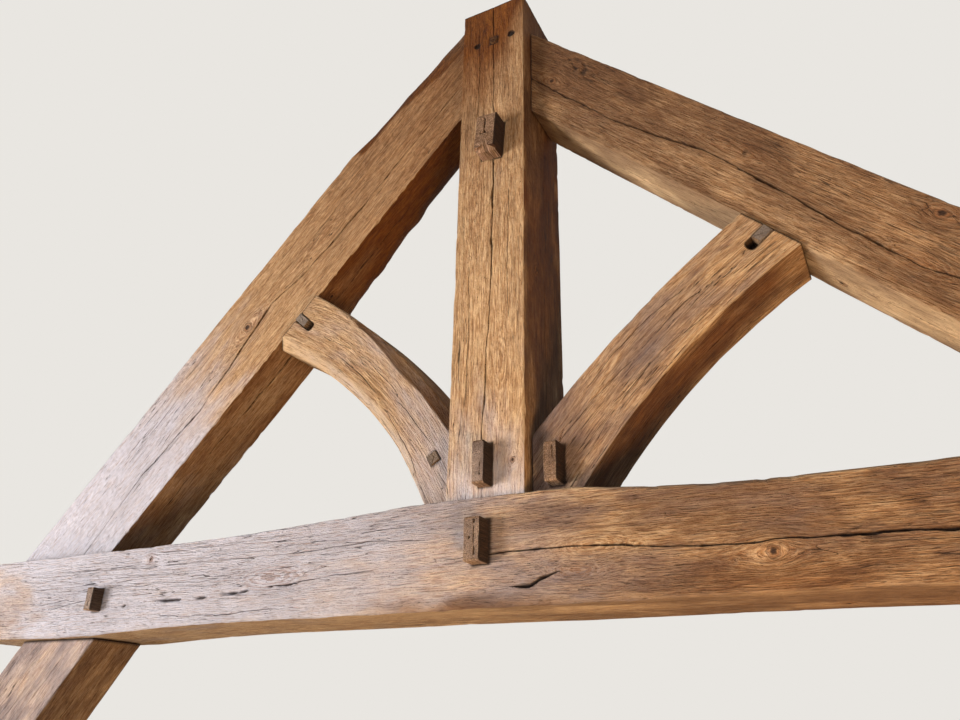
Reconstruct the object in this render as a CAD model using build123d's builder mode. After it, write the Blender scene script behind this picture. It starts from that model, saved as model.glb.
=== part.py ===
from build123d import *
from collections import namedtuple
from math import cos, hypot, radians, sin, tan
import os

# Oak roof truss: a tie beam on two raking legs, a king post standing on the tie,
# two rafters from the tie's ends to the post's head, and two curved braces from
# the post's foot to the rafters. Tenons sit in mortises, and keys and pegs lock them.
# X runs along the tie, Y from the face side to the back, Z up from the floor
# under the legs. Millimetres. "Left" is -X.

# Tie beam
tie_length = 3760
tie_thickness = 270
tie_end_depth = 252        # upright depth where rafters and legs bear
crown_rise = 30            # swelling of the top under the post
left_crown_reach = 195     # level crown, from the middle
right_crown_reach = 242
left_crown_flank = 1055    # length of the hollow slope down from the crown
right_crown_flank = 460
camber = 18                # rise of the underside over its middle stretch
camber_half = 700          # half length of the raised underside
camber_flank = 600

# King post
post_width = 220
post_depth = 275
post_front = -125
post_relish = 152          # of the post above the pegs in its head
post_housing = 8           # depth of the post's seat in the crown

# Rafters
rafter_front = -74
left_rafter_thickness = 196
right_rafter_thickness = 166
left_slope = 46.5          # degrees
right_slope = 45.0
left_rafter_depth = 322    # square to the rafter
right_rafter_depth = 235
left_heel_from_end = 50    # outer corner of the foot to the tie's end
right_heel_from_end = 187
left_nose_rise = 52        # level cut of the left rafter's head, above the post's top

# Braces
brace_front = -86
brace_thickness = 185
left_brace_foot_rise = 222     # height of the foot on the post's side
right_brace_foot_rise = 155
left_brace_foot_run = 82       # length of the foot on the crown
right_brace_foot_run = 130
left_brace_head_at = 535       # from the post's side to the head's inner corner
right_brace_head_at = 566
left_brace_head_run = 148      # level width of the head
right_brace_head_run = 128
left_brace_arch = 68           # sagitta of the lower edge
right_brace_arch = 42
left_brace_back = 36           # sagitta of the upper edge
right_brace_back = 22

# Legs
leg_drop = 1800            # floor to the tie's underside
leg_slope = 51.0           # degrees from level
leg_depth = 260            # square to the leg
leg_front = -100
leg_thickness = 185
leg_head_from_end = 550    # inner corner of the head to the tie's end

# Tenons, set out from the face side at one distance for the whole frame
tenon_front = -20
tenon_thickness = 50
tenon_inset = 14           # shoulder left above and below a tenon
head_tenon = 85            # rafter into post
foot_tenon = 60            # rafter into tie
brace_tenon = 60           # brace into rafter
leg_tenon = 160            # leg into tie, measured upright
post_tenon = 212           # post into tie
post_tenon_width = 150
mortise_gap = 1.0          # each side of a tenon
mortise_end_gap = 5.0      # beyond a tenon's end

# Keys, of rectangular section, driven through from the face side
key_gap = 0.3              # between a key and its slot
key_head_chamfer = 7
key_tail_chamfer = 12
post_key_reach = 178       # head and tail of the upper key from the truss's middle plane
upper_key_width = 69
upper_key_height = 128
upper_key_drop = 123       # centre below the lower rafter's edge at the post
upper_key_at = 8
upper_key_turn = -4        # degrees, the top towards +X
upper_key_bevel = 19       # of the head's lower edge
lower_key_width = 38.5
lower_key_height = 112
lower_key_rise = 80
lower_key_at = 1.3
lower_key_proud = 38
tie_key_width = 48
tie_key_height = 107
tie_key_at = -5
tie_key_drop = 110         # centre below the crown
tie_key_proud = 39.5
brace_key_width = 39
brace_key_height = 102
brace_key_at = 67.5        # centre from the post's side
brace_key_rise = 69.5
brace_key_proud = 43
end_key_width = 33
end_key_height = 68
end_key_from_leg = 25      # centre to the inner corner of the leg's head
end_key_rise = 104         # centre above the tie's underside at its ends
end_key_proud = 33
key_tail_proud = 26        # of a key's tail beyond the back

# Pegs
left_apex_peg_diameter = 18
middle_apex_peg_diameter = 30
right_apex_peg_diameter = 20
apex_peg_pitch = 61
apex_peg_at = 4
left_apex_peg_rise = 205   # above the rafter's lower edge at the post
right_apex_peg_rise = 300
head_slot_width = 30       # slot for the flat peg in a brace's head
left_head_slot_at = 92     # its middle, along the head from the inner corner
right_head_slot_at = 86
left_head_slot_fall = 42   # degrees from level, towards the brace's foot
right_head_slot_fall = 39
left_head_slot_length = 85
right_head_slot_length = 73
left_head_peg_length = 58  # of the slot, filled from the rafter's end
right_head_peg_length = 48
square_peg_side = 31.5
square_peg_turn = 32       # degrees
square_peg_at = 62.5       # from the post's side
square_peg_rise = 134
peg_gap = 0.3
peg_proud = 2
peg_chamfer = 2

arris = 6                  # worn bevel along the timbers' long edges

# Levels and places that follow from the sizes
soffit_z = leg_drop
seat_z = soffit_z + tie_end_depth
crown_z = seat_z + crown_rise
post_foot_z = crown_z - post_housing
post_half = post_width / 2
post_back = post_front + post_depth
tie_half = tie_length / 2
tie_front = -tie_thickness / 2
tie_back = tie_thickness / 2
brace_back = brace_front + brace_thickness
lower_key_z = crown_z + lower_key_rise
tie_key_z = crown_z - tie_key_drop
end_key_z = soffit_z + end_key_rise
leg_head_at = tie_half - leg_head_from_end
end_key_at = leg_head_at - end_key_from_leg

Half = namedtuple(
    "Half",
    "name side crown_reach crown_flank slope rafter_depth rafter_thickness heel_from_end"
    " peg_rise foot_rise foot_run head_at head_run arch back"
    " slot_at slot_fall slot_length peg_length",
)
left = Half(
    "left", -1, left_crown_reach, left_crown_flank,
    left_slope, left_rafter_depth, left_rafter_thickness, left_heel_from_end,
    left_apex_peg_rise, left_brace_foot_rise, left_brace_foot_run, left_brace_head_at,
    left_brace_head_run, left_brace_arch, left_brace_back, left_head_slot_at,
    left_head_slot_fall, left_head_slot_length, left_head_peg_length,
)
right = Half(
    "right", 1, right_crown_reach, right_crown_flank,
    right_slope, right_rafter_depth, right_rafter_thickness, right_heel_from_end,
    right_apex_peg_rise, right_brace_foot_rise, right_brace_foot_run, right_brace_head_at,
    right_brace_head_run, right_brace_arch, right_brace_back, right_head_slot_at,
    right_head_slot_fall, right_head_slot_length, right_head_peg_length,
)


def upright(y):
    """Plane of the truss at the depth y: its x is X, its y is Z, and -amount goes back."""
    return Plane.XZ.offset(-y)


def rafter_foot(half):
    """Distances from the centre at which a rafter's lower and upper edges meet the tie."""
    outer = tie_half - half.heel_from_end
    return outer - half.rafter_depth / sin(radians(half.slope)), outer


def underside(half, reach):
    """Height of a rafter's lower edge at a distance from the truss's centre."""
    return seat_z + (rafter_foot(half)[0] - reach) * tan(radians(half.slope))


def apex_peg_z(half):
    """Height of the peg that holds a rafter's head tenon."""
    return underside(half, post_half) + half.peg_rise


post_top_z = max(apex_peg_z(left), apex_peg_z(right)) + post_relish
upper_key_z = min(underside(left, post_half), underside(right, post_half)) - upper_key_drop


def arc_middle(start, end, rise):
    """Middle point of an arc between two points, raised by its sagitta."""
    run, climb = end[0] - start[0], end[1] - start[1]
    chord = hypot(run, climb)
    turn = 1 if run > 0 else -1
    middle = ((start[0] + end[0]) / 2, (start[1] + end[1]) / 2)
    return middle[0] - turn * climb / chord * rise, middle[1] + turn * run / chord * rise


def long_edges(timber, least):
    """Edges of a timber's front and back faces that are longer than its end cuts."""
    faces = timber.faces().sort_by(Axis.Y)
    edges = faces[0].edges() + faces[-1].edges()
    return edges.filter_by(lambda edge: edge.length > least)


def cheek(points, grow=0.0):
    """Tenon, or with a gap its mortise, cut across the frame at the setting-out distance."""
    with BuildSketch(upright(tenon_front - grow)) as face:
        Polygon(*points, align=None)
        if grow:
            offset(amount=grow, kind=Kind.INTERSECTION)
    mode = Mode.SUBTRACT if grow else Mode.ADD
    extrude(face.sketch, amount=-(tenon_thickness + 2 * grow), mode=mode)


def through_slot(x, z, width, height, turn=0.0):
    """Slot for a key, cut right through along Y."""
    with BuildSketch(Plane.XZ) as face:
        with Locations((x, z)):
            Rectangle(width + 2 * key_gap, height + 2 * key_gap, rotation=turn)
    extrude(face.sketch, amount=tie_length, both=True, mode=Mode.SUBTRACT)


def through_hole(x, z, diameter):
    """Round hole for a peg, cut right through along Y."""
    with BuildSketch(Plane.XZ) as face:
        with Locations((x, z)):
            Circle(diameter / 2 + peg_gap)
    extrude(face.sketch, amount=tie_length, both=True, mode=Mode.SUBTRACT)


def head_tenon_points(half, extra=0.0):
    """Rafter's head tenon, which enters the post's side level."""
    low = underside(half, post_half) + tenon_inset
    high = low + half.rafter_depth / cos(radians(half.slope)) - 2 * tenon_inset
    high = min(high, post_top_z - tenon_inset)
    outer, inner = half.side * post_half, half.side * (post_half - head_tenon - extra)
    return [(outer, low), (outer, high), (inner, high), (inner, low)]


def foot_tenon_points(half, extra=0.0):
    """Rafter's foot tenon, which drops into the tie's top."""
    inner, outer = rafter_foot(half)
    inner, outer = half.side * (inner + tenon_inset), half.side * (outer - tenon_inset)
    low = seat_z - foot_tenon - extra
    return [(inner, seat_z), (outer, seat_z), (outer, low), (inner, low)]


def brace_corners(half):
    """Inner and outer corners of a brace's head on the rafter's lower edge."""
    inner = post_half + half.head_at
    outer = inner + half.head_run
    return (inner, underside(half, inner)), (outer, underside(half, outer))


def brace_head_points(half, extra=0.0):
    """Brace's head tenon, square to the rafter."""
    slope = radians(half.slope)
    (inner, high), (outer, low) = brace_corners(half)
    along = (cos(slope) * tenon_inset, sin(slope) * tenon_inset)
    across = (sin(slope) * (brace_tenon + extra), cos(slope) * (brace_tenon + extra))
    first = (inner + along[0], high - along[1])
    last = (outer - along[0], low + along[1])
    points = [
        first,
        last,
        (last[0] + across[0], last[1] + across[1]),
        (first[0] + across[0], first[1] + across[1]),
    ]
    return [(half.side * x, z) for x, z in points]


def brace_foot_points(half, extra=0.0):
    """Brace's foot tenon, whose end comes up to the side of the lower key."""
    key_side = lower_key_width / 2 + half.side * lower_key_at + key_gap
    outer, inner = half.side * post_half, half.side * (key_side - extra)
    low, high = crown_z + tenon_inset, crown_z + half.foot_rise - tenon_inset
    return [(outer, low), (outer, high), (inner, high), (inner, low)]


def leg_tenon_points(half, extra=0.0):
    """Leg's head tenon, which carries on up the leg's own slope into the tie."""
    lean = 1 / tan(radians(leg_slope))
    inner = leg_head_at + tenon_inset / 2
    outer = leg_head_at + leg_depth / sin(radians(leg_slope)) - tenon_inset
    rise = leg_tenon + extra
    points = [
        (inner, soffit_z),
        (outer, soffit_z),
        (outer - rise * lean, soffit_z + rise),
        (inner - rise * lean, soffit_z + rise),
    ]
    return [(half.side * x, z) for x, z in points]


def post_tenon_points(extra=0.0):
    """Post's foot tenon, which the tie key crosses."""
    half_width = post_tenon_width / 2
    low = post_foot_z - post_tenon - extra
    return [
        (-half_width, post_foot_z),
        (half_width, post_foot_z),
        (half_width, low),
        (-half_width, low),
    ]


def head_slot_points(half, width, start, end):
    """Corners of a slot that runs down a brace from the rafter's lower edge."""
    slope, fall = radians(half.slope), radians(half.slot_fall)
    inner, high = brace_corners(half)[0]
    x = inner + cos(slope) * half.slot_at
    z = high - sin(slope) * half.slot_at
    skew = width / 2 / tan(slope + fall)
    corners = [
        (-width / 2, start + skew),
        (width / 2, start - skew),
        (width / 2, end),
        (-width / 2, end),
    ]
    points = []
    for across, along in corners:
        point_x = x + across * sin(fall) - along * cos(fall)
        point_z = z - across * cos(fall) - along * sin(fall)
        points.append((half.side * point_x, point_z))
    return points


def apex_pegs():
    """Place and size of the pegs in the post's head: one in each rafter's tenon, one between."""
    low, high = apex_peg_z(left), apex_peg_z(right)
    return {
        "left": (apex_peg_at - apex_peg_pitch, low, left_apex_peg_diameter),
        "middle": (apex_peg_at, (low + high) / 2, middle_apex_peg_diameter),
        "right": (apex_peg_at + apex_peg_pitch, high, right_apex_peg_diameter),
    }


def make_tie():
    """Tie with a swelling crown under the post and a lightly cambered underside."""
    camber_end = camber_half + camber_flank
    camber_z = soffit_z + camber
    with BuildPart() as timber:
        with BuildSketch(upright(tie_front)):
            with BuildLine():
                Line((-left.crown_reach, crown_z), (right.crown_reach, crown_z))
                Line((-camber_half, camber_z), (camber_half, camber_z))
                for half in (left, right):
                    side = half.side
                    crown_end = half.crown_reach + half.crown_flank
                    TangentArc(
                        (side * crown_end, seat_z), (side * half.crown_reach, crown_z),
                        tangent=(-side, 0),
                    )
                    Line((side * crown_end, seat_z), (side * tie_half, seat_z))
                    Line((side * tie_half, seat_z), (side * tie_half, soffit_z))
                    Line((side * tie_half, soffit_z), (side * camber_end, soffit_z))
                    TangentArc(
                        (side * camber_half, camber_z), (side * camber_end, soffit_z),
                        tangent=(side, 0),
                    )
            make_face()
        extrude(amount=-tie_thickness)
        chamfer(long_edges(timber, tie_end_depth * 1.1), length=arris)
        with BuildSketch(upright(post_front)):
            with Locations((0, crown_z)):
                Rectangle(post_width, 2 * post_housing)
        extrude(amount=-post_depth, mode=Mode.SUBTRACT)
        cheek(post_tenon_points(mortise_end_gap), mortise_gap)
        for half in (left, right):
            cheek(foot_tenon_points(half, mortise_end_gap), mortise_gap)
            cheek(leg_tenon_points(half, mortise_end_gap), mortise_gap)
            through_slot(half.side * end_key_at, end_key_z, end_key_width, end_key_height)
        through_slot(tie_key_at, tie_key_z, tie_key_width, tie_key_height)
    return timber.part


def make_post():
    """Post, square in section, with a mortise for each rafter and brace."""
    with BuildPart() as timber:
        with BuildSketch(upright(post_front)):
            with Locations((0, (post_foot_z + post_top_z) / 2)):
                Rectangle(post_width, post_top_z - post_foot_z)
        extrude(amount=-post_depth)
        chamfer(long_edges(timber, post_width * 1.1), length=arris)
        cheek(post_tenon_points())
        for half in (left, right):
            cheek(head_tenon_points(half, mortise_end_gap), mortise_gap)
            cheek(brace_foot_points(half), mortise_gap)
        through_slot(
            upper_key_at, upper_key_z, upper_key_width, upper_key_height, upper_key_turn
        )
        through_slot(lower_key_at, lower_key_z, lower_key_width, lower_key_height)
        through_slot(tie_key_at, tie_key_z, tie_key_width, tie_key_height)
        for x, z, diameter in apex_pegs().values():
            through_hole(x, z, diameter)
    return timber.part


def make_rafter(half):
    """Rafter with an upright head cut at the post and a level foot cut on the tie."""
    inner, outer = rafter_foot(half)
    low = underside(half, post_half)
    high = low + half.rafter_depth / cos(radians(half.slope))
    nose = min(high, post_top_z + left_nose_rise)
    nose_at = post_half + (high - nose) / tan(radians(half.slope))
    points = [(post_half, low), (inner, seat_z), (outer, seat_z), (nose_at, nose)]
    if nose < high:
        points.append((post_half, nose))
    with BuildPart() as timber:
        with BuildSketch(upright(rafter_front)):
            Polygon(*[(half.side * x, z) for x, z in points], align=None)
        extrude(amount=-half.rafter_thickness)
        chamfer(long_edges(timber, half.rafter_depth * 2), length=arris)
        cheek(head_tenon_points(half))
        cheek(foot_tenon_points(half))
        cheek(brace_head_points(half, mortise_end_gap), mortise_gap)
        through_hole(*apex_pegs()[half.name])
    return timber.part


def make_brace(half):
    """Curved brace, waisted because its lower edge is bent more than its upper one."""
    inner, outer = brace_corners(half)
    foot_end = (post_half + half.foot_run, crown_z)
    foot_top = (post_half, crown_z + half.foot_rise)
    arch = arc_middle(foot_end, outer, half.arch)
    crest = arc_middle(foot_top, inner, half.back)

    def placed(point):
        return half.side * point[0], point[1]

    with BuildPart() as timber:
        with BuildSketch(upright(brace_front)):
            with BuildLine():
                Line(placed((post_half, crown_z)), placed(foot_end))
                ThreePointArc(placed(foot_end), placed(arch), placed(outer))
                Line(placed(outer), placed(inner))
                ThreePointArc(placed(inner), placed(crest), placed(foot_top))
                Line(placed(foot_top), placed((post_half, crown_z)))
            make_face()
        extrude(amount=-brace_thickness)
        chamfer(timber.edges().filter_by(GeomType.CIRCLE), length=arris)
        with BuildSketch(Plane.XZ) as slot:
            Polygon(
                *head_slot_points(half, head_slot_width, -head_slot_width, half.slot_length),
                align=None,
            )
        extrude(slot.sketch, amount=tie_length, both=True, mode=Mode.SUBTRACT)
        cheek(brace_head_points(half))
        cheek(brace_foot_points(half))
        if half.side > 0:
            through_slot(
                post_half + brace_key_at, crown_z + brace_key_rise, brace_key_width,
                brace_key_height,
            )
        else:
            through_slot(
                -post_half - square_peg_at, crown_z + square_peg_rise, square_peg_side,
                square_peg_side, square_peg_turn,
            )
    return timber.part


def make_leg(half):
    """Raking leg: level sole on the floor, level shoulder under the tie."""
    run = leg_drop / tan(radians(leg_slope))
    width = leg_depth / sin(radians(leg_slope))
    points = [
        (leg_head_at, soffit_z),
        (leg_head_at + width, soffit_z),
        (leg_head_at + width + run, 0),
        (leg_head_at + run, 0),
    ]
    with BuildPart() as timber:
        with BuildSketch(upright(leg_front)):
            Polygon(*[(half.side * x, z) for x, z in points], align=None)
        extrude(amount=-leg_thickness)
        chamfer(long_edges(timber, width * 1.5), length=arris)
        cheek(leg_tenon_points(half))
        through_slot(half.side * end_key_at, end_key_z, end_key_width, end_key_height)
    return timber.part


def make_key(x, z, width, height, front, back, turn=0.0, lower_bevel=key_head_chamfer):
    """Key with worn edges round its head and a longer bevel round its tail."""
    with BuildPart() as key:
        with BuildSketch(upright(front)):
            with Locations((x, z)):
                Rectangle(width, height, rotation=turn)
        extrude(amount=-(back - front))
        ends = key.faces().filter_by(Axis.Y).sort_by(Axis.Y)
        chamfer(ends[0].edges().sort_by(Axis.Z)[0], length=lower_bevel)
        ends = key.faces().filter_by(Axis.Y).sort_by(Axis.Y)
        chamfer(ends[0].edges().sort_by(Axis.Z)[1:], length=key_head_chamfer)
        ends = key.faces().filter_by(Axis.Y).sort_by(Axis.Y)
        chamfer(ends[-1].edges(), length=min(key_tail_chamfer, width / 3))
    return key.part


def make_peg(x, z, diameter, front, back):
    """Round peg, broken at the rim of its head."""
    with BuildPart() as peg:
        with BuildSketch(upright(front)):
            with Locations((x, z)):
                Circle(diameter / 2)
        extrude(amount=-(back - front))
        chamfer(peg.faces().sort_by(Axis.Y)[0].edges(), length=peg_chamfer)
    return peg.part


def make_head_peg(half):
    """Flat split peg against the rafter, in the slot of a brace's head."""
    with BuildPart() as peg:
        with BuildSketch(upright(brace_front - peg_proud)):
            Polygon(
                *head_slot_points(
                    half, head_slot_width - 2 * peg_gap, peg_gap, half.peg_length
                ),
                align=None,
            )
        extrude(amount=-(brace_thickness + 2 * peg_proud))
        chamfer(peg.faces().sort_by(Axis.Y)[0].edges(), length=peg_chamfer)
    return peg.part


def make_square_peg():
    """Small square peg through the left brace's foot, set askew."""
    with BuildPart() as peg:
        with BuildSketch(upright(brace_front - peg_proud)):
            with Locations((-post_half - square_peg_at, crown_z + square_peg_rise)):
                Rectangle(square_peg_side, square_peg_side, rotation=square_peg_turn)
        extrude(amount=-(brace_thickness + 2 * peg_proud))
        chamfer(peg.faces().sort_by(Axis.Y)[0].edges(), length=peg_chamfer)
    return peg.part


def keep(part, name):
    part.label = name
    export_step(part, f"parts/{name}.step")
    print(f"{name:18s} {part.volume / 1e6:8.2f} dm3  {part.bounding_box().size}")


os.makedirs("parts", exist_ok=True)

keep(make_tie(), "tie_beam")
keep(make_post(), "king_post")
for half in (left, right):
    keep(make_rafter(half), f"rafter_{half.name}")
    keep(make_brace(half), f"brace_{half.name}")
    keep(make_leg(half), f"leg_{half.name}")
    keep(make_head_peg(half), f"brace_head_peg_{half.name}")
    keep(
        make_key(
            half.side * end_key_at, end_key_z, end_key_width, end_key_height,
            tie_front - end_key_proud, tie_back + key_tail_proud,
        ),
        f"tie_end_key_{half.name}",
    )
keep(
    make_key(
        upper_key_at, upper_key_z, upper_key_width, upper_key_height, -post_key_reach,
        post_key_reach, upper_key_turn, upper_key_bevel,
    ),
    "post_key_upper",
)
keep(
    make_key(
        lower_key_at, lower_key_z, lower_key_width, lower_key_height,
        post_front - lower_key_proud, post_back + key_tail_proud,
    ),
    "post_key_lower",
)
keep(
    make_key(
        tie_key_at, tie_key_z, tie_key_width, tie_key_height,
        tie_front - tie_key_proud, tie_back + key_tail_proud,
    ),
    "tie_key",
)
keep(
    make_key(
        post_half + brace_key_at, crown_z + brace_key_rise, brace_key_width, brace_key_height,
        brace_front - brace_key_proud, brace_back + key_tail_proud,
    ),
    "brace_key_right",
)
keep(make_square_peg(), "brace_foot_peg_left")
for place, (peg_x, peg_z, peg_diameter) in apex_pegs().items():
    keep(
        make_peg(peg_x, peg_z, peg_diameter, post_front - peg_proud, post_back + peg_proud),
        f"apex_peg_{place}",
    )
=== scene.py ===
import math

import bpy
import numpy as np
from mathutils import Matrix, Vector


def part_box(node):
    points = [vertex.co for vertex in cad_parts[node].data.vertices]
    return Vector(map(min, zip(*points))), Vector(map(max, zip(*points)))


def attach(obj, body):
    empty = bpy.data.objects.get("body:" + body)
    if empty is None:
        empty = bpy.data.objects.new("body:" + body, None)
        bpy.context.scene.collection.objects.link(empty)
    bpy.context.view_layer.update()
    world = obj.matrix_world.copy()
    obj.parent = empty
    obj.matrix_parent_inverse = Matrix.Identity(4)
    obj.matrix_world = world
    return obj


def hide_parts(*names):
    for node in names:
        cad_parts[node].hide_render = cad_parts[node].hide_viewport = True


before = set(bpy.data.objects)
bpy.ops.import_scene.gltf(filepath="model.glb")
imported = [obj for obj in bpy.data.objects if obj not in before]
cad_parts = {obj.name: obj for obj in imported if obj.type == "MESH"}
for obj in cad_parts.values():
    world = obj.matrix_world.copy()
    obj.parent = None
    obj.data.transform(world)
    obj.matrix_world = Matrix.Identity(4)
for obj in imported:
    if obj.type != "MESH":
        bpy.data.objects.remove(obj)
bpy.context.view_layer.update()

# Oak roof truss, dressed over its solids. Lengths are millimetres in the solids'
# frame until a mesh is written: X along the tie, Y back from the face side, Z up.
# A timber's own places are (along, across): along its lower edge from where that edge
# starts, and square up from it on the face side.
MM, METRE = 0.001, 1000.0

# Levels and sizes of the solids
SOFFIT_Z, SEAT_Z, CROWN_Z, POST_FOOT_Z = 1800.0, 2052.0, 2082.0, 2074.0
POST_HALF = 110.0
POST_TOP_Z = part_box("king_post")[1].z / MM
TIE_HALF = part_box("tie_beam")[1].x / MM
CROWN_RISE = CROWN_Z - SEAT_Z
CAMBER_HALF, CAMBER_FLANK, CAMBER = 700.0, 600.0, 18.0
NOSE_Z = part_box("rafter_left")[1].z / MM
LEG_SLOPE, LEG_DEPTH, LEG_HEAD_AT = math.radians(51), 260.0, 1330.0
SLOT_WIDTH = 30.0
HALVES = {
    "left": dict(side=-1, crown_reach=195, crown_flank=1055, slope=math.radians(46.5),
                 depth=322.0, foot=1830.0, foot_rise=222, foot_run=82, head_at=645,
                 head_run=148, arch=68, back=36, slot_at=92, slot_fall=math.radians(42),
                 slot_length=85, peg_length=58),
    "right": dict(side=1, crown_reach=242, crown_flank=460, slope=math.radians(45.0),
                  depth=235.0, foot=1693.0, foot_rise=155, foot_run=130, head_at=676,
                  head_run=128, arch=42, back=22, slot_at=86, slot_fall=math.radians(39),
                  slot_length=73, peg_length=48),
}
left, right = HALVES["left"], HALVES["right"]

# Noise and curves
LATTICE_SIDE = 32
LATTICE = np.random.default_rng(11).uniform(-1, 1, (LATTICE_SIDE,) * 3)


def wander(along, across, deep, reach, seed=0):
    """Smooth noise from -1 to 1, with waves reach = (along, across, deep) long."""
    total = 0.0
    spots = []
    for value, length, shift in zip((along, across, deep), reach, (3.71, 7.13, 5.47)):
        value = np.asarray(value, float) / length + shift * (seed + 1)
        low = np.floor(value)
        part = value - low
        spots.append((low.astype(int), part * part * (3 - 2 * part)))
    for corner in range(8):
        steps = [(corner >> axis) & 1 for axis in range(3)]
        weight = 1.0
        index = []
        for (low, part), step in zip(spots, steps):
            weight = weight * (part if step else 1 - part)
            index.append((low + step) % LATTICE_SIDE)
        total = total + weight * LATTICE[index[0], index[1], index[2]]
    return total


# Smooth noise on a piece: how strong, how long and how wide in millimetres, and the seed of
# each layer. It is 1 wide where it only runs along a piece, 1 long on an end cut.
WAVES = {
    "hewing": ((0.5, 330, 120, 0),),
    "blows": ((0.5, 85, 44, 1),),
    "ridges": ((1.0, 300, 8.5, 2), (0.7, 90, 12, 3), (0.5, 34, 8, 6)),
    "arris": ((0.3, 210, 1, 0), (0.25, 48, 1, 1)),
    "bites": ((1.0, 26, 1, 2),),
    "torn": ((0.6, 30, 1, 3),),
    "wane": ((0.16, 75, 1, 4),),
    "shake_sway": ((1.4, 46, 1, 1), (0.8, 12, 1, 2)),
    "shake_jumps": ((6.0, 70, 1, 5),),
    "shake_width": ((0.8, 80, 1, 3), (0.55, 15, 1, 4)),
    "pits": ((2.2, 15, 7, 5),),
    "tone_edge": ((0.35, 90, 40, 7),),
    "bark_edge": ((9.0, 70, 1, 4),),
    "end_waves": ((0.5, 1, 24, 8),),
    "end_fibres": ((1.0, 1, 5, 9),),
    "split_edge": ((1.0, 1, 9, 10),),
}


def waves(name, seed, along, across=0, deep=0):
    """The noise of that name in WAVES, at places on a piece."""
    return sum(
        much * wander(along, across, deep, (long, wide, wide), seed + shift)
        for much, long, wide, shift in WAVES[name]
    )


def ease(value, start, end):
    """0 before start, 1 after end, and a smooth rise between them."""
    share = np.clip((value - start) / (end - start), 0, 1)
    return share * share * (3 - 2 * share)


def bell(distance, reach):
    return np.exp(-((distance / reach) ** 2))


def along_path(path, along, column=1):
    """Value of a path [(along, value, ...)] at places along a timber."""
    path = np.array(sorted(path), float)
    return np.interp(along, path[:, 0], path[:, column])


def arc(start, end, rise, share):
    """Points at shares of an arc between two points that rises by its sagitta."""
    start, end = np.array(start, float), np.array(end, float)
    chord = end - start
    length = np.hypot(*chord)
    normal = np.array([-chord[1], chord[0]]) / length * np.sign(chord[0])
    radius = (length ** 2 / 4 + rise ** 2) / (2 * rise)
    offset = (share - 0.5) * length
    bulge = np.sqrt(radius ** 2 - offset ** 2) - (radius - rise)
    return start + share[..., None] * chord + bulge[..., None] * normal


def hollow(away, run, height):
    """Rise of an arc that leaves the level at 0 and has climbed its height after a run."""
    radius = (run ** 2 + height ** 2) / (2 * height)
    return radius - np.sqrt(radius ** 2 - np.clip(away, 0, run) ** 2)


def polyline(points, marks, share):
    points = np.array(points, float)
    return np.stack([np.interp(share, marks, points[:, k]) for k in range(2)], -1)


class Outline:
    """A timber seen from its face side, between a lower and an upper edge and two cuts."""

    def __init__(self, lower, upper, foot, head, origin, axis, square, bent=False):
        self.lower, self.upper, self.foot, self.head = lower, upper, foot, head
        self.origin, self.axis, self.square = (
            np.array(v, float) for v in (origin, axis, square))
        self.bent = bent
        ends = self.at(np.array([0.0, 1.0]), np.array([0.5, 0.5]))
        self.length = np.hypot(*(ends[1] - ends[0]))

    def at(self, t, share):
        """Places (X, Z) for t from foot to head and a share from lower to upper edge."""
        t, share = np.broadcast_arrays(np.asarray(t, float), np.asarray(share, float))
        u, v = t[..., None], share[..., None]
        zero, one = np.zeros(1), np.ones(1)
        corners = [self.lower(zero)[0], self.lower(one)[0]]
        corners += [self.upper(zero)[0], self.upper(one)[0]]
        ruled = (1 - v) * self.lower(t) + v * self.upper(t)
        ruled = ruled + (1 - u) * self.foot(share) + u * self.head(share)
        flat = (1 - u) * (1 - v) * corners[0] + u * (1 - v) * corners[1]
        return ruled - flat - (1 - u) * v * corners[2] - u * v * corners[3]

    def own(self, points):
        """(along, across) of places."""
        away = points - self.origin
        return away @ self.axis, away @ self.square

    def edge_normal(self, edge, t):
        step = 1e-3
        run = edge(np.clip(t + step, 0, 1)) - edge(np.clip(t - step, 0, 1))
        normal = np.stack([-run[..., 1], run[..., 0]], -1)
        normal /= np.linalg.norm(normal, axis=-1, keepdims=True)
        return normal * np.sign(normal @ self.square)[..., None]

    def find(self, along, across):
        """The (t, share) of a place, by steps towards it."""
        t, share = 0.5, 0.5
        step = 1e-3
        for _ in range(24):
            a, c = self.own(self.at(np.array(t), np.array(share)))
            a1, c1 = self.own(self.at(np.array(t + step), np.array(share)))
            a2, c2 = self.own(self.at(np.array(t), np.array(share + step)))
            slopes = np.array([[a1 - a, a2 - a], [c1 - c, c2 - c]]) / step
            move = np.linalg.solve(slopes, [along - a, across - c])
            t, share = np.clip(t + move[0], 0, 1), np.clip(share + move[1], 0, 1)
        return float(t), float(share)

    def marked(self, *points):
        """A timber's own places for points given as (X, Z)."""
        found = []
        for point in points:
            along, across = self.own(np.array(point, float))
            if self.bent:
                t, share = self.find(along, across)
                line = self.upper(np.array([t])) - self.lower(np.array([t]))
                along, across = t * self.length, share * np.hypot(*line[0])
            found.append((float(along), float(across)))
        return found


def mirrored(side, points):
    return [(side * x, z) for x, z in points]


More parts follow.
